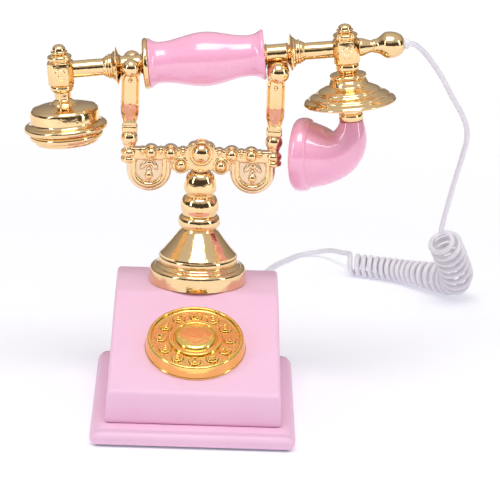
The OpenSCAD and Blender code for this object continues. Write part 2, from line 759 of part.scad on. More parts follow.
// Outline of the casting seen from the front, shrunk by inset
module cradle_outline(inset) {
    bar_l = arm_x - 1;
    translate([-bar_l, inset - bar_foot]) square([2 * bar_l, bar_top + bar_foot - 2 * inset]);
    translate([-10.4 + inset, -block_foot + inset]) square([20.8 - 2 * inset, block_foot + 2.4]);
    for (x = [-1, 1]) {
        translate([x * 4.4, 2.2]) circle(6 - inset);
        for (b = row_bosses) translate([x * b[0], b[1]]) circle(b[2] - inset);
        translate([x * (arm_x - 1.4), -corner_drop]) circle(corner_r - inset);
        translate([x * lobe_x, -lobe_drop]) circle(lobe_r - inset);
        translate([x * lobe_x - lobe_r + inset, -lobe_drop]) square([2 * (lobe_r - inset), lobe_drop - corner_drop]);
    }
    translate([-4.4, inset]) square([8.8, 8.2 - 2 * inset]);
}

// Sunk field inside each hanging lobe
module lobe_field() {
    field_r = lobe_r - lobe_band;
    for (x = [-1, 1]) translate([x * lobe_x, -lobe_drop]) {
        circle(field_r);
        translate([-field_r, 0]) square([2 * field_r, 4.4]);
    }
}

module upright(t) {
    rotate([90, 0, 0]) translate([0, 0, -t / 2]) linear_extrude(t) children();
}

// A drop with two leaves, standing out of the sunk field on both sides
module lobe_ornament() {
    translate([0, 0, 1.2]) sphere(4.4, $fn = 32);
    translate([0, 0, -5.4]) sphere(2.9, $fn = 24);
    for (x = [-1, 1]) translate([x * 5.8, 0, 1.6]) sphere(2.8, $fn = 24);
}

module cradle() {
    color(gold) in_cradle() difference() {
        union() {
            upright(web_t) cradle_outline(0);
            for (layer = [[plate_t, 1.3], [plate_t - 1.2, 0.5], [plate_t - 2.6, 0]])
                upright(layer[0]) difference() {
                    cradle_outline(layer[1]);
                    lobe_field();
                }
            translate([0, 0, -block_foot - collar_l]) cylinder(r = 5.2, h = collar_l + 3);
            for (side = [-1, 1], face = [-1, 1], b = row_bosses)
                translate([side * b[0], face * (plate_t / 2 - b[3] / 3), b[1]]) sphere(b[3], $fn = 36);
            for (face = [-1, 1]) translate([0, face * (plate_t / 2 - 2.6), 0.4]) sphere(6.6, $fn = 48);
            for (side = [-1, 1]) {
                translate([side * lobe_x, 0, -lobe_drop]) lobe_ornament();
                translate([side * arm_x, 0, 0]) {
                    translate([0, 0, -corner_drop]) cylinder(r = 4.4, h = arm_bead_up + corner_drop);
                    translate([0, 0, arm_bead_up]) sphere(arm_bead_r, $fn = 48);
                    translate([0, 0, arm_bead_up]) cylinder(r = 4, h = arm_block_z - arm_bead_up + 1);
                    translate([-arm_block_w / 2, -arm_block_w / 2, arm_block_z])
                        cube([arm_block_w, arm_block_w, arm_block_h]);
                }
            }
        }
        translate([0, 0, -block_foot - collar_l - 1]) cylinder(r = stem_r + seat_gap, h = stem_socket_l + 1);
        for (side = [-1, 1]) translate([side * arm_x, 0, fork_foot - fork_pin_l])
            cylinder(r = fork_pin_r + seat_gap, h = fork_pin_l + 1);
    }
}

// Stem of the cradle, with the collar that stops it under the column's guide
module cradle_stem() {
    stem_foot = z_roof - nut_h - stem_tail;
    stem_head = bead_z - block_foot - collar_l + stem_socket_l;
    color(steel) at_column() turned([[0, stem_foot], [stem_r - 0.8, stem_foot], [stem_r, stem_foot + 0.8],
        [stem_r, stem_collar_z], [stem_collar_r, stem_collar_z], [stem_collar_r, stem_collar_z + stem_collar_t],
        [stem_r, stem_collar_z + stem_collar_t], [stem_r, stem_head], [0, stem_head]]);
}

// Side outline of a fork: a stem that swells into two prongs
function fork_side(half_foot, half_top, z0, z1, z2) = concat(
    [for (p = swing(half_foot, z0, half_top, z1, 8)) p], [[half_top, z2], [-half_top, z2]],
    [for (i = [8:-1:0]) let (p = swing(half_foot, z0, half_top, z1, 8)[i]) [-p[0], p[1]]]);

// Front outline of a fork: a long oval that narrows to its foot; up is the height of its beads
module fork_front(up) {
    r = fork_w / 2;
    top = up - 2;
    foot = fork_foot_w / 2;
    polygon(concat([[-foot, fork_foot]], [for (p = swing(-foot, fork_foot + 1, -r, fork_foot + 12, 6)) p],
        [[-r, top - r], [r, top - r]],
        [for (i = [6:-1:0]) let (p = swing(foot, fork_foot + 1, r, fork_foot + 12, 6)[i]) p],
        [[foot, fork_foot]]));
    translate([0, top - r]) circle(r);
}

// A two-pronged fork on a pin; half_top is its half depth, bead the place of its front bead,
// and the children are the space between its prongs
module fork(half_top, bead, bead_r) {
    panel_r = 3.8;
    panel_foot = fork_foot + 25;
    panel_top = bead[2] - bead_r - 3;
    color(gold) {
        difference() {
            intersection() {
                rotate([90, 0, 90]) translate([0, 0, -fork_w / 2]) linear_extrude(fork_w)
                    polygon(fork_side(5, half_top, fork_foot, fork_foot + 20, bead[2]));
                upright(3 * half_top) fork_front(bead[2]);
            }
            children();
            for (y = [-1, 1]) translate([0, y * half_top, 0]) upright(1.6) {
                translate([0, panel_foot]) circle(panel_r);
                translate([0, panel_top]) circle(panel_r);
                translate([-panel_r, panel_foot]) square([2 * panel_r, panel_top - panel_foot]);
            }
        }
        for (y = [-1, 1]) translate([bead[0], y * bead[1], bead[2]]) sphere(bead_r, $fn = 48);
        translate([0, 0, fork_foot - fork_pin_l]) cylinder(r = fork_pin_r, h = fork_pin_l + 4);
    }
}

// Its saddle is cut in line with the handset, which lies a little askew
module receiver_fork() {
    in_cradle() translate([-arm_x, 0, 0]) fork(open_bead_y + 2.2, [0, open_bead_y, prong_up], prong_bead_r)
        translate([0, 0, prong_up - open_sink]) rotate([0, -tilt, 0]) {
            rotate([0, 90, 0]) cylinder(r = open_r, h = 2 * fork_w, center = true);
            translate([-fork_w, -open_r, 0]) cube([2 * fork_w, 2 * open_r, 3 * open_r]);
        }
}

module transmitter_fork() {
    slot_r = close_bead_y - rest_bead_r + 0.4;
    in_cradle() translate([arm_x, 0, 0])
        fork(close_bead_y + 5.4, [rest_bead_x, close_bead_y, prong_up - rest_low], rest_bead_r)
            translate([0, 0, fork_foot + 22 + slot_r]) {
                rotate([0, 90, 0]) cylinder(r = slot_r, h = 2 * fork_w, center = true);
                translate([-fork_w, -slot_r, 0]) cube([2 * fork_w, 2 * slot_r, prong_up]);
            }
}

// Handset: grip, rings and tubes on a tie rod

module grip() {
    s0 = ring_t - grip_end;
    color(rose) along() turned(concat(
        [[rod_bore_r, s0], [flange_r - 0.4, s0], [flange_r, s0 + 0.4]],
        flare(flange_r, s0 + 0.8, grip_waist_r, s0 + 7.6, 8),
        swing(grip_waist_r, s0 + 8.4, grip_r, 0, 10),
        swing(grip_r, 0.5, grip_waist_r, grip_end - 11.4, 10),
        reversed(flare(flange_r, grip_end - 2, grip_waist_r, grip_end - 10.6, 8)),
        corner(flange_r - 1.6, grip_end - 1.6, 1.6, 0, 4),
        [[rod_bore_r, grip_end]]));
}

module grip_ring() {
    color(gold) along() turned(concat([[rod_bore_r, -grip_end]],
        bead(flange_r - 1.4, -grip_end, ring_t - grip_end, 1.8, 8), [[rod_bore_r, ring_t - grip_end]]));
}

// Hollow neck, sharp ridge and stepped cone, from the grip outwards
module ferrule() {
    turned(concat([[rod_bore_r, grip_end]],
        [for (i = [0:16]) let (t = i / 8 - 1)
            [neck_waist_r + neck_flare * pow(abs(t), neck_flare_power), neck_s + t * neck_l / 2]],
        [[ridge_r - 1.4, ridge_s + 0.7], [ridge_r, ridge_s + ridge_l / 2], [ridge_r - 0.1, ridge_s + ridge_l / 2 + 0.4],
            [ridge_r - 2.2, ridge_s + ridge_l]],
        swing(ridge_r - 2.6, ridge_s + ridge_l + 0.4, arm_r + 3, ridge_s + ridge_l + 3.4, 5),
        [[arm_r + 2.4, ridge_s + ridge_l + 3.6], [arm_r + 2.4, ridge_s + ridge_l + 4.6]],
        swing(arm_r + 2.2, ridge_s + ridge_l + 5, arm_r + 0.6, ferrule_end, 4),
        [[rod_bore_r, ferrule_end]]));
}

module receiver_ferrule() {
    color(gold) mirror_along() ferrule();
}

// The receiver end mirrors the transmitter end about the middle of the handset
module mirror_along() {
    in_handset() mirror([1, 0, 0]) rotate([0, 90, 0]) children();
}

module transmitter_ferrule() {
    color(gold) along() ferrule();
}

module arm_tube(from, to) {
    difference() {
        translate([0, 0, from]) cylinder(r = arm_r, h = to - from);
        translate([0, 0, from - 1]) cylinder(r = rod_bore_r, h = to - from + 2);
    }
}

module receiver_tube() {
    color(gold) mirror_along() arm_tube(ferrule_end, receiver_s - block_w / 2);
}

module transmitter_tube() {
    color(gold) along() arm_tube(ferrule_end, transmitter_s - block_w / 2);
}

module handset_tie_rod() {
    from = -receiver_s + block_w / 2 - rod_thread_l;
    to = transmitter_s - block_w / 2 + rod_thread_l;
    color(steel) along() translate([0, 0, from]) cylinder(r = rod_r, h = to - from);
}

// Eight-sided block with a bore for the tie rod; side is where the rod comes in
module arm_block(side) {
    h = block_top - block_bottom;
    color(gold) difference() {
        union() {
            translate([0, 0, block_bottom]) linear_extrude(h) difference() {
                square(block_w, center = true);
                for (a = [0:90:270]) rotate(a) translate([block_w / 2, block_w / 2]) rotate(45)
                    square(block_cut * sqrt(2), center = true);
            }
            for (a = [0:90:270]) rotate(a) if (a != (side > 0 ? 0 : 180))
                translate([0, 0, (block_top + block_bottom) / 2]) rotate([0, 90, 0])
                    cylinder(r = 4, h = block_w / 2 + (a == 90 || a == 270 ? 0.8 : 0), $fn = 48);
        }
        rotate([0, side * 90, 0]) translate([0, 0, block_w / 2 - rod_thread_l - 0.2])
            cylinder(r = rod_bore_r, h = rod_thread_l + 1);
    }
}

module receiver_block() {
    at_receiver() arm_block(1);
}

module transmitter_block() {
    at_transmitter() arm_block(-1);
}

// Knob on top of a block: four lobes round a stepped dome
module finial(knob_h) {
    color(gold) {
        turned(concat([[0, block_top], [7.4, block_top], [7.4, block_top + 1]],
            bead(7.2, block_top + 1.2, block_top + 4.8, 1.6, 6),
            [[6.2, block_top + 5.2]],
            bead(5, block_top + 5.6, block_top + 8, 1, 5),
            [for (i = [0:6]) let (a = 15 * i) [4.9 * cos(a), block_top + 8.2 + (knob_h - 8.2) * sin(a)]]));
        for (a = [45:90:315]) rotate(a) translate([6.2, 0, block_top + 2.8]) sphere(2.7, $fn = 24);
    }
}

module receiver_finial() {
    at_receiver() finial(12.5);
}

module transmitter_finial() {
    at_transmitter() finial(11.5);
}

module receiver_shell() {
    inner_r = cup_r - shell_wall;
    color(gold) at_receiver() turned(concat(
        [[0, shell_neck_top], [6.4, shell_neck_top]],
        bead(6.2, shell_neck_top - 0.2, shell_neck_top - 5.2, 2.1, 8),
        swing(6, shell_neck_top - 5.6, 5.6, shell_neck_top - 9.6, 3),
        swing(5.6, shell_neck_top - 10.2, 9.4, shell_top, 5),
        [[9.6, shell_top - 0.2]],
        [for (i = [1:6]) let (t = i / 6) [9.6 + (cup_r - 11.6) * t, shell_top - 0.2 - 2.2 * t * t]],
        [[cup_r - 0.8, shell_top - 3.4], [cup_r, shell_top - 5.2], [cup_r, shell_bottom], [inner_r, shell_bottom],
            [inner_r, shell_top - 6.4], [inner_r - 3, shell_top - 4.8], [0, shell_top - 3]]));
}

module receiver_cap() {
    seat_r = cup_r - shell_wall - seat_gap;
    well_r = capsule_r + seat_gap;
    step_r = cap_flange_r - 3.8;
    face_r = step_r - 3.4;
    floor_z = shell_bottom - cap_h;
    color(gold) at_receiver() difference() {
        turned([[well_r, shell_bottom + cap_seat], [seat_r, shell_bottom + cap_seat], [seat_r, shell_bottom],
                [cap_flange_r - 1, shell_bottom], [cap_flange_r, shell_bottom - 1],
                [cap_flange_r, shell_bottom - cap_flange_t + 1], [cap_flange_r - 1, shell_bottom - cap_flange_t],
                [step_r, shell_bottom - cap_flange_t], [step_r, shell_bottom - cap_flange_t - cap_step_t + 1],
                [step_r - 1, shell_bottom - cap_flange_t - cap_step_t], [face_r, floor_z],
                [face_r - 2.5, floor_z], [face_r - 4, floor_z + 1.6], [0, floor_z + 0.8],
                [0, floor_z + 2.6], [well_r, floor_z + 3.6]]);
        for (i = [0:5]) rotate(60 * i) translate([7, 0, floor_z - 1]) cylinder(r = 1.1, h = 5, $fn = 24);
        translate([0, 0, floor_z - 1]) cylinder(r = 1.1, h = 5, $fn = 24);
    }
}

module receiver_capsule() {
    floor_z = shell_bottom - cap_h + 3.6;
    color(dark) at_receiver() turned([[0, floor_z + 0.1], [capsule_r - 2, floor_z + 0.1], [capsule_r, floor_z + 1.5],
        [capsule_r, floor_z + capsule_rim_h], [capsule_top_r, floor_z + capsule_h], [0, floor_z + capsule_h]]);
}

// Bell that carries the horn: neck bead, ring, waist and a wide thin brim
module transmitter_bell() {
    brim = bell_bottom + 1.8;
    color(gold) at_transmitter() turned(concat(
        [[0, block_bottom], [6.2, block_bottom]],
        bead(6.2, block_bottom - 0.2, block_bottom - 7, 2.1, 8),
        [[8, block_bottom - 7.6]],
        bead(11.4, block_bottom - 8.2, block_bottom - 11.2, 1.6, 6),
        [[12.4, block_bottom - 12], [13.4, block_bottom - 14]],
        swing(14, block_bottom - 15, 22, block_bottom - 20.5, 6),
        swing(23, block_bottom - 21, 27.4, block_bottom - 23.6, 4),
        swing(28, block_bottom - 24, bell_r - 0.6, brim, 4),
        [[bell_r, brim - 0.8], [bell_r, bell_bottom + 0.4], [bell_r - 0.6, bell_bottom],
            [bell_r - bell_wall, bell_bottom], [bell_r - bell_wall - 1, bell_bottom + plate_disc_t],
            [26.2, block_bottom - 25], [20.4, block_bottom - 21.6], [0, block_bottom - 19]]));
}

// Plate that closes the bell, with the boss for the horn's collar
module bell_plate() {
    disc_r = bell_r - bell_wall - 1.2;
    color(gold) at_transmitter() turned([[0, bell_bottom + plate_disc_t - 0.2],
        [disc_r, bell_bottom + plate_disc_t - 0.2], [disc_r, bell_bottom], [9, bell_bottom],
        [7, bell_bottom - 2], [7, collar_top], [0, collar_top]]);
}

module microphone() {
    color(dark) at_transmitter() translate([0, 0, bell_bottom + plate_disc_t - 0.2]) cylinder(r = 11, h = 5);
}

module horn_collar() {
    color(gold) at_transmitter() turned(concat([[0, collar_top]],
        bead(horn_neck_r - 1, collar_top, collar_top - collar_h, 1.3, 8), [[0, collar_top - collar_h]]));
}

// Point and direction on the horn's centre line
function curve_at(t) = let (p = HORN_CURVE, u = 1 - t)
    u * u * u * p[0] + 3 * u * u * t * p[1] + 3 * u * t * t * p[2] + t * t * t * p[3];
function curve_dir(t) = let (p = HORN_CURVE, u = 1 - t)
    unit(u * u * (p[1] - p[0]) + 2 * u * t * (p[2] - p[1]) + t * t * (p[3] - p[2]));
function flat(p) = [p[0], 0, p[1]];

// Curved horn that widens to a thick rounded lip
module horn() {
    t_all = [for (i = [0:horn_rings]) i / horn_rings];
    bore_t = [for (i = [0:horn_rings]) 0.12 + 0.9 * i / horn_rings];
    end = curve_dir(1);
    color(rose) at_transmitter() rotate(-horn_yaw) {
        difference() {
            sweep([for (t = t_all) flat(curve_at(t))], [for (t = t_all) flat(curve_dir(t))],
                [for (t = t_all) horn_neck_r + (horn_mouth_r - horn_neck_r) * t], horn_sides, [0, 1, 0]);
            sweep([for (t = bore_t) flat(curve_at(t))], [for (t = bore_t) flat(curve_dir(t))],
                [for (t = bore_t) horn_neck_r + (horn_mouth_r - horn_neck_r) * t - horn_wall],
                horn_sides, [0, 1, 0]);
        }
        translate(flat(HORN_CURVE[3])) rotate([0, -atan2(-end[0], end[1]), 0]) horn_lip();
    }
}

module horn_lip() {
    half = lip_l / 2;
    inner_r = horn_mouth_r - horn_wall - 1.4;
    mid_r = (lip_r + inner_r) / 2;
    swell = (lip_r - inner_r) / 2;
    turned([for (i = [0:23]) let (a = 15 * i)
        [mid_r + swell * cos(a), half - 0.6 + half * sin(a)]]);
}

// Neck and egg-shaped bulb at the cord end
module tail_bulb() {
    s0 = transmitter_s + block_w / 2;
    s1 = s0 + tail_neck_l;
    color(gold) along() turned(concat([[0, s0], [6.6, s0]],
        swing(6.4, s0 + 0.6, 4.2, s1 - 1, 6),
        [[5, s1 - 0.6], [5, s1 + 0.4]],
        [for (i = [0:10]) let (t = i / 10) [4.4 + (bulb_r - 4.4) * pow(sin(22 + 136 * t), 0.8), s1 + 0.6
            + (tail_end - s1 - 0.8) * t]],
        [[4.2, tail_end], [cord_bore_r, tail_end], [cord_bore_r, tail_end - 8], [0, tail_end - 8]]));
}

module cord_relief() {
    foot_r = 4;
    mouth_r = 3.1;
    color(white) along() turned([[cord_bore_r, tail_end], [foot_r, tail_end], [foot_r - 0.1, tail_end + 1],
        [mouth_r + 0.4, tail_end + relief_l], [mouth_r, tail_end + relief_l], [cord_bore_r, tail_end + relief_l / 2]]);
}

// Cord

function handset_point(s) = [s * cos(tilt), column_y, handset_z + s * sin(tilt)];
cord_head = [handset_point(tail_end - 4), handset_point(tail_end + relief_l)];
cord_tail = [[grommet_x, y_back + 6, grommet_z - 0.4], [grommet_x, y_back - 1, grommet_z]];
upper_pts = concat(cord_head, UPPER_ROUTE);
cord_pts = concat(upper_pts, CURLY_ROUTE, LOWER_ROUTE, cord_tail);
cord_line = spline(cord_pts);
cord_dirs = tangents(cord_line);
curl_from = ring_of(cord_pts, len(upper_pts));
curl_to = ring_of(cord_pts, len(upper_pts) + len(CURLY_ROUTE) - 1);

// A stretch of the cord's line whose radius eases from r0 to r1 between two shares of its length
module cord_stretch(from, to, r0, r1, sides) {
    ease_from = 0.4;
    ease_to = 0.75;
    color(white) sweep(part_of(cord_line, from, to), part_of(cord_dirs, from, to),
        [for (i = [from:to]) let (share = ((i - from) / (to - from) - ease_from) / (ease_to - ease_from))
            r0 + (r1 - r0) * ease(min(1, max(0, share)))], sides, [0, 1, 0]);
}

module cord_upper() {
    cord_stretch(0, curl_from, cord_d / 2, cord_d / 2, cord_sides);
}

module cord_curly() {
    cord_stretch(curl_from, curl_to, curl_wide_r, curl_r, curl_sides);
}

module cord_lower() {
    cord_stretch(curl_to, len(cord_line) - 1, cord_d / 2, cord_d / 2, cord_sides);
}

plinth();
base_plate();
rubber_feet();
base_screws();
housing();
ballast_weight();
circuit_board();
ringer();
line_socket();
cord_grommet();
hook_switch();
dial_body();
dial_face();
dial_hub();
keypad_board();
keypad_mat();
for (name = KEYS) dial_key(name);
pedestal_foot();
pedestal_column();
pedestal_nut();
hook_spring();
cradle();
cradle_stem();
receiver_fork();
transmitter_fork();
grip();
grip_ring();
receiver_ferrule();
transmitter_ferrule();
receiver_tube();
transmitter_tube();
handset_tie_rod();
receiver_block();
receiver_finial();
receiver_shell();
receiver_cap();
receiver_capsule();
transmitter_block();
transmitter_finial();
transmitter_bell();
bell_plate();
microphone();
horn_collar();
horn();
tail_bulb();
cord_relief();
cord_upper();
cord_curly();
cord_lower();
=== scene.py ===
# %% [markdown]
# # A cradle telephone, dressed around its CAD model
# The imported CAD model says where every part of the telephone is, and which parts move together.
# Nothing here changes a size: each new piece is modelled exactly where its CAD part stands,
# so loading the model comes first, and its outer box is kept to compare with at the end.

# %% Load the CAD model
import json
import math

import bpy
from mathutils import Matrix, Vector

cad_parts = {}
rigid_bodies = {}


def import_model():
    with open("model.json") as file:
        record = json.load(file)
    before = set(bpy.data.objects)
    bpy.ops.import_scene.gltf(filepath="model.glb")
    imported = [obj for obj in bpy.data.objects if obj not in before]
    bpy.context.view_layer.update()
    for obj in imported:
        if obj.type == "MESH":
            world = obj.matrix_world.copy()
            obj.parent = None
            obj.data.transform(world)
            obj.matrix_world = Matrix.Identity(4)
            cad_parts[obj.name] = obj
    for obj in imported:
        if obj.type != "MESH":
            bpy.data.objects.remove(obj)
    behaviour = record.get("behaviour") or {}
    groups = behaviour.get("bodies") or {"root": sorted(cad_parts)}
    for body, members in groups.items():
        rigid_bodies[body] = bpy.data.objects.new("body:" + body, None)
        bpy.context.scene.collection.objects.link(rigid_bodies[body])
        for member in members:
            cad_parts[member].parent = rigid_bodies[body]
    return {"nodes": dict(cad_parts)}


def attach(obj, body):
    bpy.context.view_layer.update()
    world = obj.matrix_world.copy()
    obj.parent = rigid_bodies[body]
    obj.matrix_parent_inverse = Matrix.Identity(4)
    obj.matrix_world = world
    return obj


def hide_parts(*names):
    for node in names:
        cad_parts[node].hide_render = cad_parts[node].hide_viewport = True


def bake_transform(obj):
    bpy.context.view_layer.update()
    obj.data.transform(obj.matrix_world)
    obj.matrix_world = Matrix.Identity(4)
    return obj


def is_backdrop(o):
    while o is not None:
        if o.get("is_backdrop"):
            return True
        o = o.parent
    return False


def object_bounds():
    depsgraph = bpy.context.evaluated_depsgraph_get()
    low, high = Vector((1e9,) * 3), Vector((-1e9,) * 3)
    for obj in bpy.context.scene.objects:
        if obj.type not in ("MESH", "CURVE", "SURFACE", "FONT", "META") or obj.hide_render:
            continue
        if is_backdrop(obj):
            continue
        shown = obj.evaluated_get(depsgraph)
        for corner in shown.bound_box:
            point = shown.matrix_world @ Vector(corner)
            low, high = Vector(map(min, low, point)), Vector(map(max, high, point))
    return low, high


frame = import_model()
nodes = frame["nodes"]
cad_box = [list(corner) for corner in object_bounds()]
MM = 0.001

# %% [markdown]
# ## The camera
# A long lens from a little over two metres away keeps the upright lines nearly parallel, as in a
# catalogue picture. It looks down by fifteen degrees, so the top of the dial is seen as well as
# its side. The camera comes first.

# %% Camera
def new_object(name, data):
    """An object in the scene that shows the data."""
    made = bpy.data.objects.new(name, data)
    bpy.context.collection.objects.link(made)
    return made


PITCH, YAW, ROLL = (math.radians(a) for a in (15.212, 0.858, 2.001))
lens = bpy.data.cameras.new("camera")
lens.lens = 259.2
lens.sensor_width = 36
camera = new_object("camera", lens)
camera.matrix_world = (
    Matrix.Translation((-0.000443, -2.39207, 0.773925))
    @ Matrix.Rotation(-YAW, 4, "Z")
    @ Matrix.Rotation(math.pi / 2 - PITCH, 4, "X")
    @ Matrix.Rotation(ROLL, 4, "Z")
)
bpy.context.scene.camera = camera
print("camera", round((camera.matrix_world.translation - Vector((0, 0.05, 0.15))).length, 2), "m away")

# %% [markdown]
# ## The handset cord
# One white flex runs from the bulb at the end of the handset, in a long bow through the air, into
# a tight curl that lies on the table, and on along the table to a grommet in the back wall.
# A flex could be swept as a mesh ring by ring, but a curve with a round bevel keeps its thickness
# by itself. The route is a list of points in millimetres; for the curl, the centre line is walked
# in small even steps while the point swings round it, once for every few millimetres. The first
# and last turns are drawn out, so that the cord runs into the curl and out of it without a kink.

# %% Route of the cord
COLUMN_Y = 50.8
ARM_SPAN, REST_STEP = 100.8, 11.2
HANDSET_Z = 237.5
TILT = math.atan2(REST_STEP, ARM_SPAN)
HANDSET = Matrix.Translation((0, COLUMN_Y * MM, HANDSET_Z * MM)) @ Matrix.Rotation(-TILT, 4, "Y")
BULB_END = 139
CORD_R = 2
WIDE_R, WIDE_PITCH = 10.9, 8.0
CURL_R, CURL_PITCH = 7.0, 5.6
TURNS, PER_TURN = 24.25, 14
RUN_IN, RUN_OUT, OPENING = 0.9, 0.35, 2.5

UPPER = [(148, 57, 250), (162, 68, 233), (176, 86, 208), (186, 101, 189), (190, 115, 174),
         (189, 135, 154), (187, 162, 131), (185, 205, 98), (184, 240, 72)]
CURLY = [(185, 254.6, 62), (190.1, 264.3, 49.4), (195.2, 274, 36.8), (199.7, 283.5, 24.6),
         (199.9, 291.6, 17.4), (194.3, 300.2, 14.4), (178.5, 315, 12.6), (161, 332, 10.8),
         (142, 343, 9.8), (122, 350, 9.8)]
PAST_CURLY = (102, 357, 9.8)
LOWER = [(120.5, 365, 14), (113.6, 376, 11.9), (108.9, 386, 10.2), (103.6, 395, 7.8), (96, 402, 4.6),
         (85, 402, 2.4), (72, 384, 2.4), (60, 362, 2.4), (51, 330, 2.4), (46, 285, 2.4), (43, 240, 2.4),
         (39, 190, 2.4), (35, 150, 2.4), (32, 122, 6), (30.5, 104, 15)]
GROMMET = [(30, 91, 20.6), (30, 84, 21)]
print("handset leans", round(math.degrees(TILT), 2), "degrees")

# %% The line along the middle of the cord
def on_handset(s):
    return HANDSET @ Vector((s * MM, 0, 0)) / MM


def spline(points, step):
    """A smooth line through the points, in steps of about the given length."""
    points = [Vector(p) for p in points]
    line = []
    for i in range(len(points) - 1):
        a, b, c, d = (points[max(0, min(k, len(points) - 1))] for k in (i - 1, i, i + 1, i + 2))
        count = max(1, round((c - b).length / step))
        for k in range(count):
            t = k / count
            line.append((2 * b + (c - a) * t + (2 * a - 5 * b + 4 * c - d) * t**2
                         + (3 * b - a - 3 * c + d) * t**3) / 2)
    return line + [points[-1]]


def eased(share):
    return (1 - math.cos(math.pi * min(1, max(0, share)))) / 2


def nearest(line, place):
    return min(range(len(line)), key=lambda i: (line[i] - Vector(place)).length)


BEFORE, AFTER = 8, 3
centre = spline([UPPER[-2], UPPER[-1]] + CURLY + [PAST_CURLY], 1.0)
first, last = nearest(centre, CURLY[0]) - BEFORE, nearest(centre, CURLY[-1]) + AFTER
print("curl: winds round", last - first, "mm of line")

# %% Wind the curl and string the route together
def curl(line, turns, per_turn):
    """Winds round the line: wide where it hangs, narrow and tight where it lies on the table."""
    lengths = [0]
    for a, b in zip(line, line[1:]):
        lengths.append(lengths[-1] + (b - a).length)
    count = round(turns * per_turn)
    steps = []
    for k in range(count):
        drawn_out = 1 - min(eased(k / per_turn / RUN_IN), eased((count - k) / per_turn / RUN_OUT))
        pitch = WIDE_PITCH + (CURL_PITCH - WIDE_PITCH) * eased((k / count - 0.35) / 0.35)
        steps.append(pitch * (1 + OPENING * drawn_out))
    side, out, at = Vector((0, 1, 0)), [], 0
    for k in range(count + 1):
        want = lengths[-1] * sum(steps[:k]) / sum(steps)
        while at < len(line) - 2 and lengths[at + 1] < want:
            at += 1
        share = (want - lengths[at]) / (lengths[at + 1] - lengths[at])
        along = (line[at + 1] - line[at]).normalized()
        side = (side - along * side.dot(along)).normalized()
        radius = WIDE_R + (CURL_R - WIDE_R) * eased((want / lengths[-1] - 0.4) / 0.35)
        radius = radius * eased(k / per_turn / RUN_IN)
        angle = 2 * math.pi * k / per_turn - math.pi / 2
        out.append(line[at].lerp(line[at + 1], share)
                   + radius * (math.cos(angle) * side + math.sin(angle) * along.cross(side)))
    return out


STRAIGHT_ON = 5
head = [on_handset(BULB_END - 4), on_handset(BULB_END + 3.5)] + [Vector(p) for p in UPPER]
curled = curl(centre[first:last + 1], TURNS, PER_TURN)
run_out = curled[-1] + STRAIGHT_ON * (curled[-1] - curled[-2]).normalized()
tail_points = [run_out] + [Vector(p) for p in LOWER + GROMMET]
route = head + curled + tail_points
print("cord:", len(head), "points,", len(curled), "in the curl,", len(tail_points), "behind it")

# %% Draw the cord as a curve
cord_line = bpy.data.curves.new("handset_cord", "CURVE")
cord_line.dimensions = "3D"
cord_line.resolution_u = 7
cord_line.bevel_depth = CORD_R * MM
cord_line.bevel_resolution = 3
cord_line.use_fill_caps = True
thread = cord_line.splines.new("BEZIER")
thread.bezier_points.add(len(route) - 1)
for knot, place in zip(thread.bezier_points, route):
    knot.co = place * MM
    knot.handle_left_type = knot.handle_right_type = "AUTO"
handset_cord = new_object("handset_cord", cord_line)
print("cord length", round(thread.calc_length(), 3), "m")

# %% [markdown]
# The upper end of the cord rises with the handset while the curl stays on the table. The same
# curve is turned into a mesh twice: once without its thickness, a mesh of the middle line that is
# removed again at once, and once with it, which becomes the cord.

# %% Turn the cord into a mesh
def deselect():
    bpy.ops.object.select_all(action="DESELECT")


def select_only(piece):
    deselect()
    piece.select_set(True)
    bpy.context.view_layer.objects.active = piece


select_only(handset_cord)
cord_line.bevel_depth = 0
bpy.ops.object.convert(target="MESH", keep_original=True)
middle = bpy.context.object
bpy.data.objects.remove(middle)
select_only(handset_cord)
cord_line.bevel_depth = CORD_R * MM
bpy.ops.object.convert(target="MESH")
bpy.ops.object.shade_smooth()
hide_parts("cord_upper", "cord_curly", "cord_lower")
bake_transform(handset_cord)

# %% [markdown]
# ## Finishes
# A finish is a small network of shader nodes. Written out node by node it is long and hard to
# read, so one class stands for a value in the network: sums with it add Math nodes, and its one
# method adds any other node. A pattern always reads Object coordinates, in metres, so that it
# stays on the piece and keeps its real scale.

# %% Shader values as Python expressions
class Wire:
    """A value in a shader network. Sums add Math nodes, and add() makes any other node."""

    def __init__(self, tree, socket=None):
        self.tree, self.socket = tree, socket

    def add(self, kind, settings=None, sockets=None, out=0):
        node = self.tree.nodes.new(kind)
        for name, value in (settings or {}).items():
            if name == "stops":
                for extra in value[2:]:
                    node.color_ramp.elements.new(extra[0])
                for stop, (place, colour) in zip(node.color_ramp.elements, value):
                    stop.position, stop.color = place, (*colour, 1)
            else:
                setattr(node, name, value)
        for name, value in (sockets or {}).items():
            if isinstance(value, Wire):
                self.tree.links.new(value.socket, node.inputs[name])
            else:
                node.inputs[name].default_value = value
        return Wire(self.tree, node.outputs[out] if node.outputs else None)

    def math(self, operation, a, b):
        return self.add("ShaderNodeMath", {"operation": operation}, {0: a, 1: b})

    def __add__(self, other):
        return self.math("ADD", self, other)

    def __radd__(self, other):
        return self.math("ADD", other, self)

    def __sub__(self, other):
        return self.math("SUBTRACT", self, other)

    def __rsub__(self, other):
        return self.math("SUBTRACT", other, self)

    def __mul__(self, other):
        return self.math("MULTIPLY", self, other)

    def __rmul__(self, other):
        return self.math("MULTIPLY", other, self)


def start_finish(name):
    """A new material with an empty network, and a first wire: its Object coordinates."""
    material = bpy.data.materials.new(name)
    material.use_nodes = True
    material.node_tree.nodes.clear()
    return material, Wire(material.node_tree).add("ShaderNodeTexCoord", out="Object")


def noise(place, scale, detail=2.0):
    return place.add("ShaderNodeTexNoise", None, {"Vector": place, "Scale": scale, "Detail": detail})


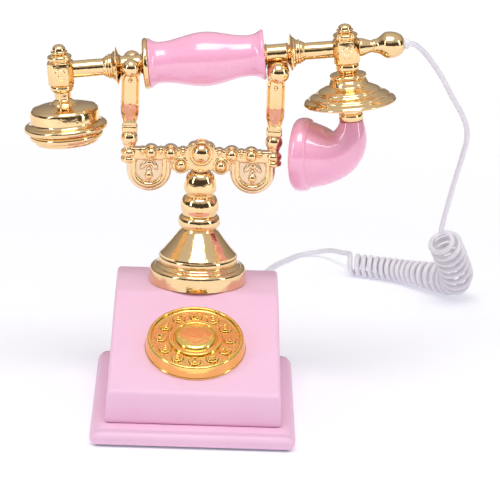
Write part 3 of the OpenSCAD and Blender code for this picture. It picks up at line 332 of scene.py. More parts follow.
def blend_colours(factor, first, second):
    """Each colour is three numbers or another wire."""
    first, second = (c if isinstance(c, Wire) else (*c, 1) for c in (first, second))
    return factor.add("ShaderNodeMix", {"data_type": "RGBA"}, {0: factor, 6: first, 7: second}, out=2)


def bump(height, depth):
    return height.add("ShaderNodeBump", None, {"Height": height, "Distance": depth, "Strength": 1.0})


def end_finish(wire, **sockets):
    shader = wire.add("ShaderNodeBsdfPrincipled", None,
                      {name.replace("_", " "): value for name, value in sockets.items()})
    wire.add("ShaderNodeOutputMaterial", None, {"Surface": shader})


# %% [markdown]
# ### Bright gold
# The metalwork is plated: a thin film over a polished casting. A plated surface is never quite
# flat, and the eye reads that from the way reflections swim, so a long soft ripple and a short
# one go into the bump. The film is a little redder where it is thin. The dial is plated in a
# yellower gold, and the sunk ground of the cradle's plate was never polished: it is paler and
# more matt. That ground is found by how near a point is to the middle of the plate.

# %% Gold
GROUND_TOP, RELIEF_START = 3.4, 4.0
GROUND_TINT = (0.92, 0.70, 0.48)


def axis(place, name):
    return place.add("ShaderNodeSeparateXYZ", None, {0: place}, out=name)


def smooth_step(value, start, end):
    """0 before start and 1 after end, which may be the smaller of the two."""
    return value.add("ShaderNodeMapRange", {"interpolation_type": "SMOOTHSTEP"}, {0: value, 1: start, 2: end})


def plated(name, thin, thick, rough, middle=None):
    """Polished plating; middle is the y of a plate whose sunk ground is left matt."""
    material, at = start_finish(name)
    ripple = noise(at, 120, 1.0) + 0.35 * noise(at, 420, 2.0)
    colour, rough = blend_colours(noise(at, 55), thin, thick), rough + 0.08 * noise(at, 240)
    if middle is not None:
        depth = axis(at, "Y") - middle
        sunk = smooth_step(depth.math("ABSOLUTE", depth, 0), RELIEF_START * MM, GROUND_TOP * MM)
        colour, rough = blend_colours(sunk, colour, GROUND_TINT), rough + 0.22 * sunk
    end_finish(at, Base_Color=colour, Metallic=1.0, Roughness=rough, Normal=bump(ripple, 0.00025))
    return material


RED_FILM, YELLOW_FILM = (0.88, 0.59, 0.28), (0.91, 0.68, 0.40)
gold = plated("bright_gold", RED_FILM, YELLOW_FILM, 0.07)
chased_gold = plated("chased_gold", RED_FILM, YELLOW_FILM, 0.07, COLUMN_Y * MM)
dial_gold = plated("dial_gold", (0.98, 0.60, 0.13), (1.0, 0.72, 0.24), 0.10)
print("three golds")

# %% [markdown]
# ### Pink mouldings
# The base is a satin moulding: its skin has a very fine grain from the tool, and its pigment
# clouds slightly. The grip and the horn are the same plastic in a deeper pink, polished.

# %% Pinks and white
def moulded(name, first, second, rough, grain, coat):
    material, at = start_finish(name)
    cloud = noise(at, 38, 3.0)
    speck = noise(at, 1500, 2.0)
    end_finish(at, Base_Color=blend_colours(0.7 * cloud + 0.3 * speck, first, second),
               Roughness=rough - 0.05 + 0.1 * noise(at, 300, 3.0),
               Normal=bump(speck, grain), Coat_Weight=coat, Coat_Roughness=0.1, Coat_IOR=1.7, IOR=1.47)
    return material


pink = moulded("satin_pink", (0.91, 0.55, 0.75), (0.95, 0.62, 0.80), 0.42, 0.00006, 0.0)
rose = moulded("polished_rose", (0.96, 0.40, 0.61), (1.0, 0.46, 0.66), 0.26, 0.00001, 1.0)
flex = moulded("white_flex", (0.79, 0.75, 0.82), (0.86, 0.83, 0.88), 0.38, 0.00002, 0.0)
black = moulded("black_plastic", (0.02, 0.02, 0.022), (0.035, 0.035, 0.04), 0.5, 0.00006, 0.0)
board_green = moulded("board_green", (0.01, 0.09, 0.04), (0.02, 0.13, 0.06), 0.4, 0.00002, 0.2)
grey_rubber = moulded("grey_rubber", (0.2, 0.2, 0.21), (0.26, 0.26, 0.27), 0.7, 0.00008, 0.0)

steel, at = start_finish("plain_steel")
end_finish(at, Base_Color=blend_colours(noise(at, 160), (0.55, 0.56, 0.58), (0.66, 0.67, 0.69)),
           Metallic=1.0, Roughness=0.25 + 0.15 * noise(at, 600, 4.0), Normal=bump(noise(at, 900), 0.00004))


def dress(piece, finish):
    piece.data.materials.clear()
    piece.data.materials.append(finish)


dress(handset_cord, flex)
dress(nodes["cord_grommet"], flex)
HIDDEN = {steel: ("base_screws", "ballast_weight", "pedestal_nut", "hook_spring", "cradle_stem",
                  "handset_tie_rod"),
          board_green: ("circuit_board", "keypad_board"),
          grey_rubber: ("keypad_mat", "rubber_feet"),
          black: ("base_plate", "ringer", "line_socket", "hook_switch", "receiver_capsule", "microphone")}
for finish, names in HIDDEN.items():
    for name in names:
        dress(nodes[name], finish)
print(len(bpy.data.materials), "finishes")

# %% [markdown]
# ## Tools for turned pieces
# Most of the telephone is turned: its pieces are the same all round an axis. On a lathe the
# profile is cut from end to end. Here a disc is extruded from ring to ring up the same profile,
# and resized after each step, which leaves a closed solid with even quads. Spinning a drawn
# profile would do too, but leaves a seam to merge.

# %% Steps in edit mode
def object_mode():
    bpy.ops.object.mode_set(mode="OBJECT")


def move(x, y, z):
    """Moves what is selected, in millimetres."""
    bpy.ops.transform.translate(value=(x * MM, y * MM, z * MM))


def stretch(x, y, z, about=0):
    """Resizes what is selected, about a height in metres on the upright axis."""
    bpy.ops.transform.resize(value=(x, y, z), center_override=(0, 0, about))


def mend(doubles=0.0):
    """Merges points nearer than doubles, in metres, turns all faces outwards and leaves edit mode."""
    bpy.ops.mesh.select_all(action="SELECT")
    if doubles:
        bpy.ops.mesh.remove_doubles(threshold=doubles)
    bpy.ops.mesh.normals_make_consistent(inside=False)
    object_mode()


# %% Placing and turning
def settle(piece, name, place=Matrix(), smooth=32):
    """Puts the piece in its place with its place in its mesh, and smooths its shallow edges."""
    select_only(piece)
    piece.name = piece.data.name = name
    piece.matrix_world = place @ piece.matrix_world
    bpy.ops.object.transform_apply(location=True, rotation=True, scale=True)
    bpy.ops.object.shade_smooth_by_angle(angle=math.radians(smooth))
    return piece


def turned(name, profile, place=Matrix(), sides=96, smooth=32):
    """A closed turned solid; its profile is a list of (radius, height) in millimetres."""
    radius, height = profile[0][0] * MM, profile[0][1] * MM
    deselect()
    bpy.ops.mesh.primitive_circle_add(vertices=sides, radius=radius, fill_type="TRIFAN", enter_editmode=True)
    move(0, 0, profile[0][1])
    for r, z in profile[1:]:
        r, z = max(r, 0.02) * MM, z * MM
        bpy.ops.mesh.extrude_region_move(TRANSFORM_OT_translate={"value": (0, 0, z - height)})
        stretch(r / radius, r / radius, 1, z)
        radius, height = r, z
    mend()
    return settle(bpy.context.object, name, place, smooth)


# %% Stretches of a profile
def bead(r, z0, z1, swell, n=12):
    """A half-round bead from z0 to z1."""
    angles = [math.pi * i / n for i in range(n + 1)]
    return [(r + swell * math.sin(a), (z0 + z1) / 2 - (z1 - z0) / 2 * math.cos(a)) for a in angles]


def swing(r0, z0, r1, z1, n=12):
    """An ogee that leaves one radius and reaches the next without a corner."""
    return [(r0 + (r1 - r0) * (1 - math.cos(math.pi * i / n)) / 2, z0 + (z1 - z0) * i / n)
            for i in range(n + 1)]


def flare(r_end, z_end, r_waist, z_waist, n=12):
    """An end that flares out of a waist, from the end to the waist."""
    return [(r_waist + (r_end - r_waist) * (1 - i / n) ** 2, z_end + (z_waist - z_end) * i / n)
            for i in range(n + 1)]


def arc(r, z, wide, tall, angles):
    """Part of an ellipse about (r, z), through the angles in degrees."""
    return [(r + wide * math.cos(math.radians(a)), z + tall * math.sin(math.radians(a))) for a in angles]


def corner(r, z, radius, start, n=5):
    """A quarter-round corner about (r, z), from the angle start."""
    return arc(r, z, radius, radius, [start + 90 * i / n for i in range(n + 1)])


def belongs(piece, body, slot, finish, *stands_for):
    """Rides the piece on its body, gives it its finish and hides the CAD parts it stands for."""
    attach(piece, body)
    dress(piece, finish)
    if stands_for:
        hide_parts(*stands_for)
    print(piece.name, len(piece.data.polygons), "faces")


def gilded(part, body, profile, place, finish=gold, sides=96):
    """Turns a gilt piece that stands for the CAD part of the same name."""
    belongs(turned(part + "_turning", profile, place, sides), body, "gilt", finish, part)


# %% [markdown]
# ## Pedestal
# A hollow foot with a rounded ring and a cone carries the column: a collar bead, a full bulb, a
# waist, a second bulb, and a bored top in which the cradle's stem slides.

# %% Pedestal foot and column
AT_COLUMN = Matrix.Translation((0, COLUMN_Y * MM, 0))
TOP_Z, CONE_H, COLUMN_H = 77.5, 36.8, 42.7
COLUMN_TOP = TOP_Z + CONE_H + COLUMN_H
STEM_BORE_R = 3.45
gilded("pedestal_foot", "base", [(33.2, TOP_Z + 0.02), (33.8, TOP_Z + 0.5)]
       + corner(30.8, TOP_Z + 9, 3, 0, 8) + swing(30.4, TOP_Z + 12.1, 27.6, TOP_Z + 14.6, 6)
       + bead(27, TOP_Z + 15, TOP_Z + 19.4, 0.8, 8)
       + [(26.8 - 13 * (t / 16) ** 0.94, TOP_Z + 20.6 + 16.2 * t / 16) for t in range(17)],
       AT_COLUMN, sides=128)

z = TOP_Z + CONE_H
gilded("pedestal_column", "base", [(13.6, z + 0.02), (12.5, z + 1.4), (12.2, z + 2.2)]
       + bead(11.9, z + 2.6, z + 11.6, 3, 16) + swing(12, z + 11.8, 13.5, z + 17.4, 8)
       + arc(9.6, z + 17.7, 3.9, 8, range(4, 86, 9)) + swing(9.6, z + 26, 11.4, z + 30.6, 8)
       + arc(7.4, z + 30.9, 4, COLUMN_TOP - 0.4 - z - 30.9, range(4, 90, 8))
       + [(7.3, COLUMN_TOP), (STEM_BORE_R, COLUMN_TOP), (STEM_BORE_R, COLUMN_TOP - 7.3)],
       AT_COLUMN, sides=128)

# %% [markdown]
# ## Handset
# The handset is a string of turned pieces on a hidden tie rod, so all of them are turned along
# one axis and then laid over with one matrix. Radii run outwards from the grip's middle.

# %% Grip, ring and ferrules
LAID = HANDSET @ Matrix.Rotation(math.pi / 2, 4, "Y")
LAID_BACK = HANDSET @ Matrix.Rotation(-math.pi / 2, 4, "Y")
NECK_S, NECK_L = 50.71, 16.8
GRIP_END = NECK_S - NECK_L / 2
RIDGE_S = NECK_S + NECK_L / 2
FERRULE_END = RIDGE_S + 11
left = 4 - GRIP_END
grip = turned("grip_turning", [(17.2, left), (17.5, left + 0.15), (17.6, left + 0.5)]
              + flare(17.6, left + 0.8, 14.4, left + 7.6) + swing(14.4, left + 8.4, 19, 0, 20)
              + swing(19, 0.5, 14.4, GRIP_END - 11.4, 20)
              + flare(17.6, GRIP_END - 2, 14.4, GRIP_END - 10.6)[::-1]
              + corner(16, GRIP_END - 1.6, 1.6, 0), LAID, sides=128, smooth=50)
belongs(grip, "handset", "rose", rose, "grip")
gilded("grip_ring", "handset", bead(16.2, -GRIP_END, left, 1.8), LAID)

# A waisted neck beside the grip, a sharp ridge and a stepped cone.
z = RIDGE_S
neck = [(6.7 + 3.4 * (t / 12) ** 14, NECK_S + t / 12 * NECK_L / 2) for t in range(-12, 13)]
ridge = [(11.0, z + 0.35), (11.9, z + 0.7), (12.7, z + 1.05), (13.15, z + 1.3), (13.3, z + 1.5),
         (13.2, z + 1.75), (12.6, z + 2.1), (11.1, z + 2.8)]
cone = (swing(10.7, z + 3.2, 9, z + 5.2, 6) + [(8.6, z + 5.4), (8.6, z + 5.9)]
        + bead(8.2, z + 6.0, z + 7.6, 0.6, 6) + [(7.7, z + 7.7)] + bead(7.4, z + 7.9, z + 9.2, 0.4, 6)
        + swing(7.2, z + 9.3, 6.3, FERRULE_END, 5))
for end, place in (("receiver", LAID_BACK), ("transmitter", LAID)):
    gilded(end + "_ferrule", "handset", neck + ridge + cone, place)

# %% Arm tubes, tail bulb and strain relief
RECEIVER_S, TRANSMITTER_S, BLOCK_W = 100, 98.7, 18
for end, block_s, place in (("receiver", RECEIVER_S, LAID_BACK), ("transmitter", TRANSMITTER_S, LAID)):
    profile = [(5.8, FERRULE_END), (6, FERRULE_END + 0.2), (6, block_s - 9.2), (5.8, block_s - 9)]
    gilded(end + "_tube", "handset", profile, place)

tail_s = TRANSMITTER_S + BLOCK_W / 2
egg_s = tail_s + 10.5
gilded("tail_bulb", "handset", [(6.4, tail_s), (6.6, tail_s + 0.3)]
       + swing(6.4, tail_s + 0.6, 4.2, egg_s - 1, 10)
       + [(4.8, egg_s - 0.7), (5, egg_s - 0.4), (5, egg_s + 0.2), (4.8, egg_s + 0.5)]
       + swing(5, egg_s + 0.8, 9.4, egg_s + 9.5)
       + arc(3.4, egg_s + 10, 6, BULB_END - egg_s - 10.1, range(0, 86, 5)) + [(2.2, BULB_END)], LAID)
SLEEVE = [(4, 0), (3.9, 1), (3.7, 1.4), (3.75, 1.9), (3.6, 2.4), (3.5, 3.3), (3.3, 3.5), (3.1, 3.4),
          (2.1, 1.8)]
relief = turned("cord_relief_sleeve", [(r, BULB_END + s) for r, s in SLEEVE], LAID)
belongs(relief, "handset", "cord", flex, "cord_relief")

# %% [markdown]
# ## Receiver and transmitter
# The receiver is a cup with a cap that has two rounded rims, held under a block by a beaded neck.
# The transmitter is a bell with a broad stepped brim, and a collar under it holds the horn.

# %% Receiver cup and cap
AT_RECEIVER = HANDSET @ Matrix.Translation((-RECEIVER_S * MM, 0, 0))
AT_TRANSMITTER = HANDSET @ Matrix.Translation((TRANSMITTER_S * MM, 0, 0))
gilded("receiver_shell", "handset", [(6.2, -9.62)] + bead(6.2, -9.8, -14.8, 2.1)
       + swing(6, -15.2, 5.6, -19.2, 5) + swing(5.6, -19.8, 9.4, -24, 8) + [(9.6, -24.2)]
       + [(9.6 + 12.6 * t / 10, -24.2 - 2.2 * (t / 10) ** 2) for t in range(1, 11)]
       + corner(22.3, -28.3, 1.9, 90, 6)[::-1][6:]
       + [(23.3, -27.2), (23.9, -28.2), (24.2, -29.4), (24.2, -37.9), (24.0, -38)],
       AT_RECEIVER, sides=112)

cap = turned("receiver_cap_turning", [(24.3, -35.4), (24.6, -36.2), (25.2, -37), (26, -37.5)]
             + bead(26.7, -37.7, -42.6, 2.6, 14) + [(26.2, -42.9), (25, -43.2)]
             + bead(23.5, -43.5, -48.2, 2.3, 14)
             + [(23, -48.5), (22.5, -49), (22.2, -50.5), (21.8, -51), (19.8, -51), (19.3, -50.8),
                (18.1, -49.6), (14, -49.9), (8, -50.1), (0.5, -50.2)], AT_RECEIVER, sides=112)
belongs(cap, "handset", "gilt", gold)

# %% [markdown]
# The sound holes are drilled in one go: small cylinders are laid in rings and joined into one
# punch, and a boolean takes the punch from the cap.

# %% Joining and cutting
def join_to(piece, *others):
    select_only(piece)
    for other in others:
        other.select_set(True)
    bpy.ops.object.join()
    return piece


def alter(piece, kind, **settings):
    """Gives the piece a modifier with the settings, and applies it."""
    select_only(piece)
    change = piece.modifiers.new(kind, kind)
    for name, value in settings.items():
        setattr(change, name, value)
    bpy.ops.object.modifier_apply(modifier=change.name)


def combine(piece, other, operation):
    alter(piece, "BOOLEAN", operation=operation, solver="EXACT", object=other)
    bpy.data.objects.remove(other)


# %% Sound holes in the cap
HOLE_R, CAP_FACE = 1.1, -50.3
holes = []
for ring_r, count in ((0, 1), (7, 6), (12.5, 12)):
    for i in range(count):
        a = 2 * math.pi * i / count
        spot = Vector((ring_r * math.cos(a), ring_r * math.sin(a), CAP_FACE)) * MM
        bpy.ops.mesh.primitive_cylinder_add(vertices=20, radius=HOLE_R * MM, depth=5 * MM, location=spot)
        holes.append(bpy.context.object)
punch = settle(join_to(holes[-1], *holes), "punch", AT_RECEIVER)
combine(cap, punch, "DIFFERENCE")
bpy.ops.object.shade_smooth_by_angle(angle=math.radians(32))
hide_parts("receiver_cap")
print("cap has", len(cap.data.polygons), "faces after its holes")

# %% Transmitter bell, plate and collar
gilded("transmitter_bell", "handset", [(6.2, -9.62)] + bead(6.2, -9.8, -16.6, 2.1)
       + [(7.8, -17), (8.2, -17.4)] + bead(11.4, -17.8, -20.8, 1.6, 10)
       + [(12.0, -21.2), (12.4, -21.6), (13.4, -23.6)] + swing(14, -24.6, 22, -30.1, 10)
       + [(22.4, -30.3), (22.6, -30.6)] + swing(23, -30.7, 27.4, -33.2, 7)
       + [(27.7, -33.3), (27.9, -33.6)] + swing(28.2, -33.7, 31.9, -36.7, 7)
       + [(32.3, -37.1), (32.5, -37.6), (32.4, -38.1), (31.9, -38.5), (30.6, -38.5), (30.2, -38.3),
          (29.6, -36.6)], AT_TRANSMITTER, sides=128)
gilded("bell_plate", "handset", [(29.2, -36.7), (29.3, -38.3), (29.0, -38.5), (9.4, -38.5),
                              (8.4, -38.9), (7.2, -40.3), (7, -41), (7, -45.6)],
       AT_TRANSMITTER, sides=112)
gilded("horn_collar", "handset", bead(7.3, -45.6, -51.6, 1.3), AT_TRANSMITTER)

# %% [markdown]
# ## The horn
# The mouthpiece is a bent cone that ends in a thick rounded lip. A curve with a round bevel is
# the quickest way: two Bezier points give the bend, their radii give the widening, and a wall
# is added after the curve has become a mesh. The lip is turned and laid over the open end.

# %% Horn
def edit_mode():
    bpy.ops.object.mode_set(mode="EDIT")


HORN_LINE = [(0, -51.6), (0, -68), (-8, -77.6), (-30.6, -75.9)]
HORN_YAW = math.radians(14)
THROAT_R, MOUTH_R, HORN_WALL = 8.3, 23.5, 2.2
bend = bpy.data.curves.new("horn", "CURVE")
bend.dimensions, bend.resolution_u = "3D", 40
bend.bevel_depth, bend.bevel_resolution = MM, 22
path = bend.splines.new("BEZIER")
path.bezier_points.add(1)
corners = [Vector((x, 0, z)) * MM for x, z in HORN_LINE]
for knot, place, before, after, radius in zip(
        path.bezier_points, (corners[0], corners[3]), (2 * corners[0] - corners[1], corners[2]),
        (corners[1], 2 * corners[3] - corners[2]), (THROAT_R, MOUTH_R)):
    knot.handle_left_type = knot.handle_right_type = "FREE"
    knot.co, knot.handle_left, knot.handle_right, knot.radius = place, before, after, radius
horn = new_object("horn_body", bend)
select_only(horn)
bpy.ops.object.convert(target="MESH")
edit_mode()
mend(0.00001)
alter(horn, "SOLIDIFY", thickness=HORN_WALL * MM, offset=-1)
YAWED = AT_TRANSMITTER @ Matrix.Rotation(-HORN_YAW, 4, "Z")
settle(horn, "horn_body", YAWED, 60)
print("horn body:", len(horn.data.polygons), "faces")

# %% Lip of the horn
mouth = (corners[3] - corners[2]).normalized()
lip_place = YAWED @ Matrix.Translation(corners[3]) @ mouth.to_track_quat("Z", "Y").to_matrix().to_4x4()
LIP_R, LIP_HALF, LIP_IN, LIP_OUT = 26, 6, 1.4, 5.4
inner_r = MOUTH_R - HORN_WALL - LIP_IN
mid_r, swell = (LIP_R + inner_r) / 2, (LIP_R - inner_r) / 2
deselect()
bpy.ops.mesh.primitive_torus_add(major_segments=112, minor_segments=28, major_radius=mid_r * MM,
                                 minor_radius=swell * MM)
lip = bpy.context.object
edit_mode()
bpy.ops.mesh.select_all(action="SELECT")
stretch(1, 1, LIP_HALF / swell)
move(0, 0, LIP_OUT)
object_mode()
settle(lip, "horn_lip", lip_place, 60)
join_to(horn, lip)
belongs(horn, "handset", "rose", rose, "horn")

# %% [markdown]
# ## Base
# The base is two mouldings. The plinth is a low box that leans in a little, with round corners
# and a soft top edge; the housing is a box whose front half slopes down. Both start as a cube:
# edges and corners are moved in edit mode while the box is still simple, and the rounding comes
# last, as bevels, because a bevel is hard to bend afterwards.

# %% Choosing vertices and edges by place
def choose(piece, test):
    """Selects the vertices whose place passes the test, and the edges and faces between them."""
    object_mode()
    for part in (*piece.data.polygons, *piece.data.edges):
        part.select = False
    for vertex in piece.data.vertices:
        vertex.select = test(vertex.co / MM)
    edit_mode()
    bpy.ops.mesh.select_mode(type="VERT")


def choose_edges(piece, test):
    """Selects the edges whose two ends, in millimetres, pass the test."""
    object_mode()
    for part in (*piece.data.polygons, *piece.data.vertices):
        part.select = False
    for edge in piece.data.edges:
        edge.select = test(*(piece.data.vertices[v].co / MM for v in edge.vertices))
    edit_mode()
    bpy.ops.mesh.select_mode(type="EDGE")


def round_edges(size, segments):
    bpy.ops.mesh.bevel(offset=size * MM, offset_type="OFFSET", segments=segments, affect="EDGES")


def box(width, depth, z0, z1, y=0.0, x=0.0):
    """A cube primitive at its size and place, in millimetres, left in edit mode."""
    deselect()
    bpy.ops.mesh.primitive_cube_add(size=MM, enter_editmode=True)
    stretch(width, depth, z1 - z0)
    move(x, y, (z0 + z1) / 2)
    return bpy.context.object


# %% Plinth
PLINTH_W, PLINTH_D, PLINTH_H, LEAN, HOLLOW = 140, 190, 12, 1.4, 7.4
plinth = box(PLINTH_W, PLINTH_D, 1, PLINTH_H)
choose(plinth, lambda v: v.z > 5)
stretch(1 - 2 * LEAN / PLINTH_W, 1 - 2 * LEAN / PLINTH_D, 1)
choose_edges(plinth, lambda a, b: abs(a.z - b.z) > 5)
round_edges(6, 10)
choose_edges(plinth, lambda a, b: min(a.z, b.z) > 11)
round_edges(1.8, 6)
choose(plinth, lambda v: v.z < 1.5)
bpy.ops.mesh.inset(thickness=4 * MM, depth=0)
move(0, 0, HOLLOW)
object_mode()
settle(plinth, "plinth_moulding", smooth=30)
belongs(plinth, "base", "pink", pink, "plinth")

# %% Housing
HOUSING_W, HOUSING_TOP_W = 119.4, 114
Y_FRONT, Y_BACK, Y_CREASE, Z_FRONT = -76.5, 85, 22, 34.5
SLOPE = math.atan2(TOP_Z - Z_FRONT, Y_CREASE - Y_FRONT)
housing = box(HOUSING_W, Y_BACK - Y_FRONT, PLINTH_H, TOP_Z, (Y_FRONT + Y_BACK) / 2)
bpy.ops.mesh.bisect(plane_co=(0, Y_CREASE * MM, 0), plane_no=(0, 1, 0))
choose(housing, lambda v: v.z > 70)
stretch(HOUSING_TOP_W / HOUSING_W, 1, 1)
choose(housing, lambda v: v.z > 70 and v.y < Y_CREASE - 1)
move(0, 0, Z_FRONT - TOP_Z)
front_w = HOUSING_W - (HOUSING_W - HOUSING_TOP_W) * (Z_FRONT - PLINTH_H) / (TOP_Z - PLINTH_H)
stretch(front_w / HOUSING_TOP_W, 1, 1)
choose(housing, lambda v: v.z < PLINTH_H + 1 and v.y < Y_FRONT + 1)
move(0, -0.8, 0)
choose_edges(housing, lambda a, b: max(a.z, b.z) > 20)
round_edges(2.6, 7)
object_mode()
settle(housing, "housing_moulding", smooth=30)
belongs(housing, "base", "pink", pink, "housing")

# %% [markdown]
# ## Dial
# The dial looks like a rotary one but is a keypad: a turned ring with a thin rolled rim, a face
# plate with twelve round windows, a hub with a domed middle, and twelve flat keys with bold raised
# characters. One key is turned; the others are copies of it, each with its own mesh.

# %% Dial ring and hub
DIAL_DOWN = 59.2
DIAL = (Matrix.Translation((0, (Y_CREASE - DIAL_DOWN * math.cos(SLOPE)) * MM,
                            (TOP_Z - DIAL_DOWN * math.sin(SLOPE)) * MM)) @ Matrix.Rotation(SLOPE, 4, "X"))
FACE_TOP = 7.4
dial = turned("dial_ring_turning", [(34.4, 0.05), (34.6, 0.3), (34.6, 1.2), (34.3, 1.5)]
              + [(34.2 - 1.1 * t / 4, 1.6 + 6 * t / 4) for t in range(5)] + corner(31.6, 8.0, 1.4, 0, 7)
              + corner(31.2, 8.6, 0.8, 90, 6) + [(30.2, FACE_TOP + 0.3), (29.8, FACE_TOP + 0.06),
                                                (28.1, FACE_TOP + 0.02), (28.1, 3)], DIAL, sides=144)
belongs(dial, "base", "gilt", dial_gold, "dial_body")

gilded("dial_hub", "base", [(18.6, FACE_TOP - 0.2), (18.7, FACE_TOP)]
       + corner(17.7, FACE_TOP + 0.9, 0.9, 0, 6) + corner(15.8, FACE_TOP + 0.9, 0.9, 90, 6)
       + [(14.6, FACE_TOP + 0.7)] + arc(10.2, FACE_TOP + 0.8, 4, 2.6, range(0, 91, 10))
       + [(7, FACE_TOP + 3.5), (3, FACE_TOP + 3.6), (0.3, FACE_TOP + 3.62)], DIAL, dial_gold, sides=128)
dress(nodes["dial_face"], dial_gold)

# %% Keys
KEY_R, KEY_TOP, KEY_RING = 4.2, 9.4, 23.55
SIGN_SIZE, SIGN_RISE, SIGN_ROUND = 7.6, 0.95, 0.45
cap_z = KEY_TOP - 1.1
key_shape = turned("key", [(KEY_R - 0.2, 6.0), (KEY_R, 6.1)] + corner(3.8, cap_z - 0.4, 0.4, 0, 4)
                   + [(3.6 * (1 - t / 6), cap_z) for t in range(6)] + [(0.2, cap_z)], sides=48)
CHARACTERS = "1234567890#*"
NAMES = ["key_hash" if c == "#" else "key_star" if c == "*" else "key_" + c for c in CHARACTERS]


def raised_sign(character):
    """A character with rounded edges, its middle at the origin."""
    deselect()
    bpy.ops.object.text_add()
    letter = bpy.context.object.data
    letter.body = character
    letter.align_x, letter.align_y = "CENTER", "CENTER"
    letter.size, letter.extrude = SIGN_SIZE * MM, (SIGN_RISE - SIGN_ROUND) * MM
    letter.bevel_depth, letter.bevel_resolution, letter.offset = SIGN_ROUND * MM, 2, -0.1 * MM
    bpy.ops.object.convert(target="MESH")
    bpy.ops.object.origin_set(type="ORIGIN_GEOMETRY", center="BOUNDS")
    return bpy.context.object


for turn_by, (character, name) in enumerate(zip(CHARACTERS, NAMES)):
    sign = raised_sign(character)
    key = key_shape.copy()
    key.data = key_shape.data.copy()
    bpy.context.collection.objects.link(key)
    angle = math.radians(30 * turn_by)
    spot = Vector((KEY_RING * math.cos(angle), KEY_RING * math.sin(angle), 0)) * MM
    key.matrix_world = Matrix.Translation(spot)
    sign.matrix_world = Matrix.Translation(spot + Vector((0, 0, (KEY_TOP - SIGN_RISE) * MM)))
    join_to(key, sign)
    settle(key, name + "_cap", DIAL)
    belongs(key, name, "gilt", dial_gold, name)
bpy.data.objects.remove(key_shape)

# %% [markdown]
# ## Arm blocks and finials
# Where an arm ends, an eight-sided block takes the receiver or the transmitter. It is a cube
# whose upright corners are notched, with round bosses on its free sides. On top stands a knob:
# four lobes round a stepped dome.

# %% Blocks
BLOCK_FOOT, BLOCK_HEAD = -9.6, 6


def arm_block(name, place, side):
    """A block with notched corners and bosses; side says where the arm comes in."""
    block = box(BLOCK_W, BLOCK_W, BLOCK_FOOT, BLOCK_HEAD)
    choose_edges(block, lambda a, b: abs(a.z - b.z) > 5)
    round_edges(4, 1)
    choose_edges(block, lambda a, b: True)
    round_edges(0.5, 3)
    object_mode()
    bosses = []
    for a in (0, 90, 180, 270):
        if a != (0 if side > 0 else 180):
            over = 0.8 if a in (90, 270) else -0.02
            lay = Matrix.Rotation(math.radians(a), 4, "Z") @ Matrix.Translation((0, 0, -1.8 * MM)) \
                @ Matrix.Rotation(math.pi / 2, 4, "Y")
            face = [(4, 8.4), (3.9, 8.8), (3.6, 9), (1.6, 9), (1.3, 8.8), (1.2, 8.4)]
            bosses.append(turned("boss", [(4, 6)] + [(r, z + over) for r, z in face], lay, sides=48))
    return settle(join_to(block, *bosses), name, place)


ENDS = (("receiver", AT_RECEIVER), ("transmitter", AT_TRANSMITTER))
for (end, place), side in zip(ENDS, (1, -1)):
    belongs(arm_block(end + "_block_casting", place, side), "handset", "gilt", gold, end + "_block")

# %% Finials
def add_ball(piece, r, spot, segments):
    """Joins a ball to the piece, in millimetres."""
    deselect()
    bpy.ops.mesh.primitive_uv_sphere_add(segments=segments, ring_count=segments // 2, radius=r * MM,
                                         location=Vector(spot) * MM)
    join_to(piece, bpy.context.object)


LOBE_BALL, LOBES_OUT, LOBES_UP = 2.7, 6.2, 8.8


def finial(name, place, height):
    """A knob of the given height over the block: four lobes round a stepped dome."""
    knob = turned("knob", [(7.2, 6.02), (7.4, 6.2), (7.4, 7)] + bead(7.2, 7.2, 10.8, 1.6, 10) + [(6.2, 11.2)]
                  + bead(5, 11.6, 14, 1, 8) + arc(0, 14.2, 4.9, height - 8.2, range(0, 90, 9))
                  + [(0.3, BLOCK_HEAD + height)], sides=80)
    for a in (45, 135, 225, 315):
        a = math.radians(a)
        add_ball(knob, LOBE_BALL, (LOBES_OUT * math.cos(a), LOBES_OUT * math.sin(a), LOBES_UP), 32)
    return settle(knob, name, place)


for (end, place), height in zip(ENDS, (12.5, 11.46)):
    belongs(finial(end + "_finial_turning", place, height), "handset", "gilt", gold, end + "_finial")

# %% [markdown]
# ## Cradle casting
# The cradle is one flat casting with a scalloped outline: a plaque with a ball in the middle, a
# row of beads on each side, two hanging lobes edged by a half-round band, and a stack of collars
# under each arm. In a foundry pattern these would be separate bits glued on a board and filleted
# with wax. The same is done here: simple solids are laid into each other, joined, and a voxel
# remesh fuses them into one skin, which a little smoothing then softens like a casting.

# %% Parts of a pattern
COLLAR_GAP, COLLAR_H, PLAQUE_FOOT = 0.3, 1.5, 11.4
IN_CRADLE = Matrix.Translation((0, COLUMN_Y * MM, (COLUMN_TOP + COLLAR_GAP + COLLAR_H + PLAQUE_FOOT) * MM))
UPRIGHT = Matrix.Rotation(math.pi / 2, 4, "X")
pattern = []


def keep(piece):
    pattern.append(piece)


def slab(x, z, r, depth, soft=1.0):
    """A round slab that faces front and back, with soft rims."""
    profile = [(r - soft, -depth / 2)] + corner(r - soft, soft - depth / 2, soft, -90, 3) \
        + corner(r - soft, depth / 2 - soft, soft, 0, 3)
    keep(turned("slab", profile, Matrix.Translation((x * MM, 0, z * MM)) @ UPRIGHT, sides=64))


def block(x0, x1, z0, z1, depth, soft=1.0):
    """A rectangular slab with soft edges."""
    piece = box(x1 - x0, depth, z0, z1, x=(x0 + x1) / 2)
    choose_edges(piece, lambda a, b: True)
    round_edges(soft, 3)
    object_mode()
    keep(settle(piece, "block"))


def ball(x, y, z, r, flat=1.0, tall=1.0, lean=0):
    deselect()
    bpy.ops.mesh.primitive_uv_sphere_add(segments=40, ring_count=20, radius=r * MM, enter_editmode=True)
    stretch(1, flat, tall)
    bpy.ops.transform.rotate(value=math.radians(lean), orient_axis="Y", center_override=(0, 0, 0))
    move(x, y, z)
    object_mode()
    keep(bpy.context.object)


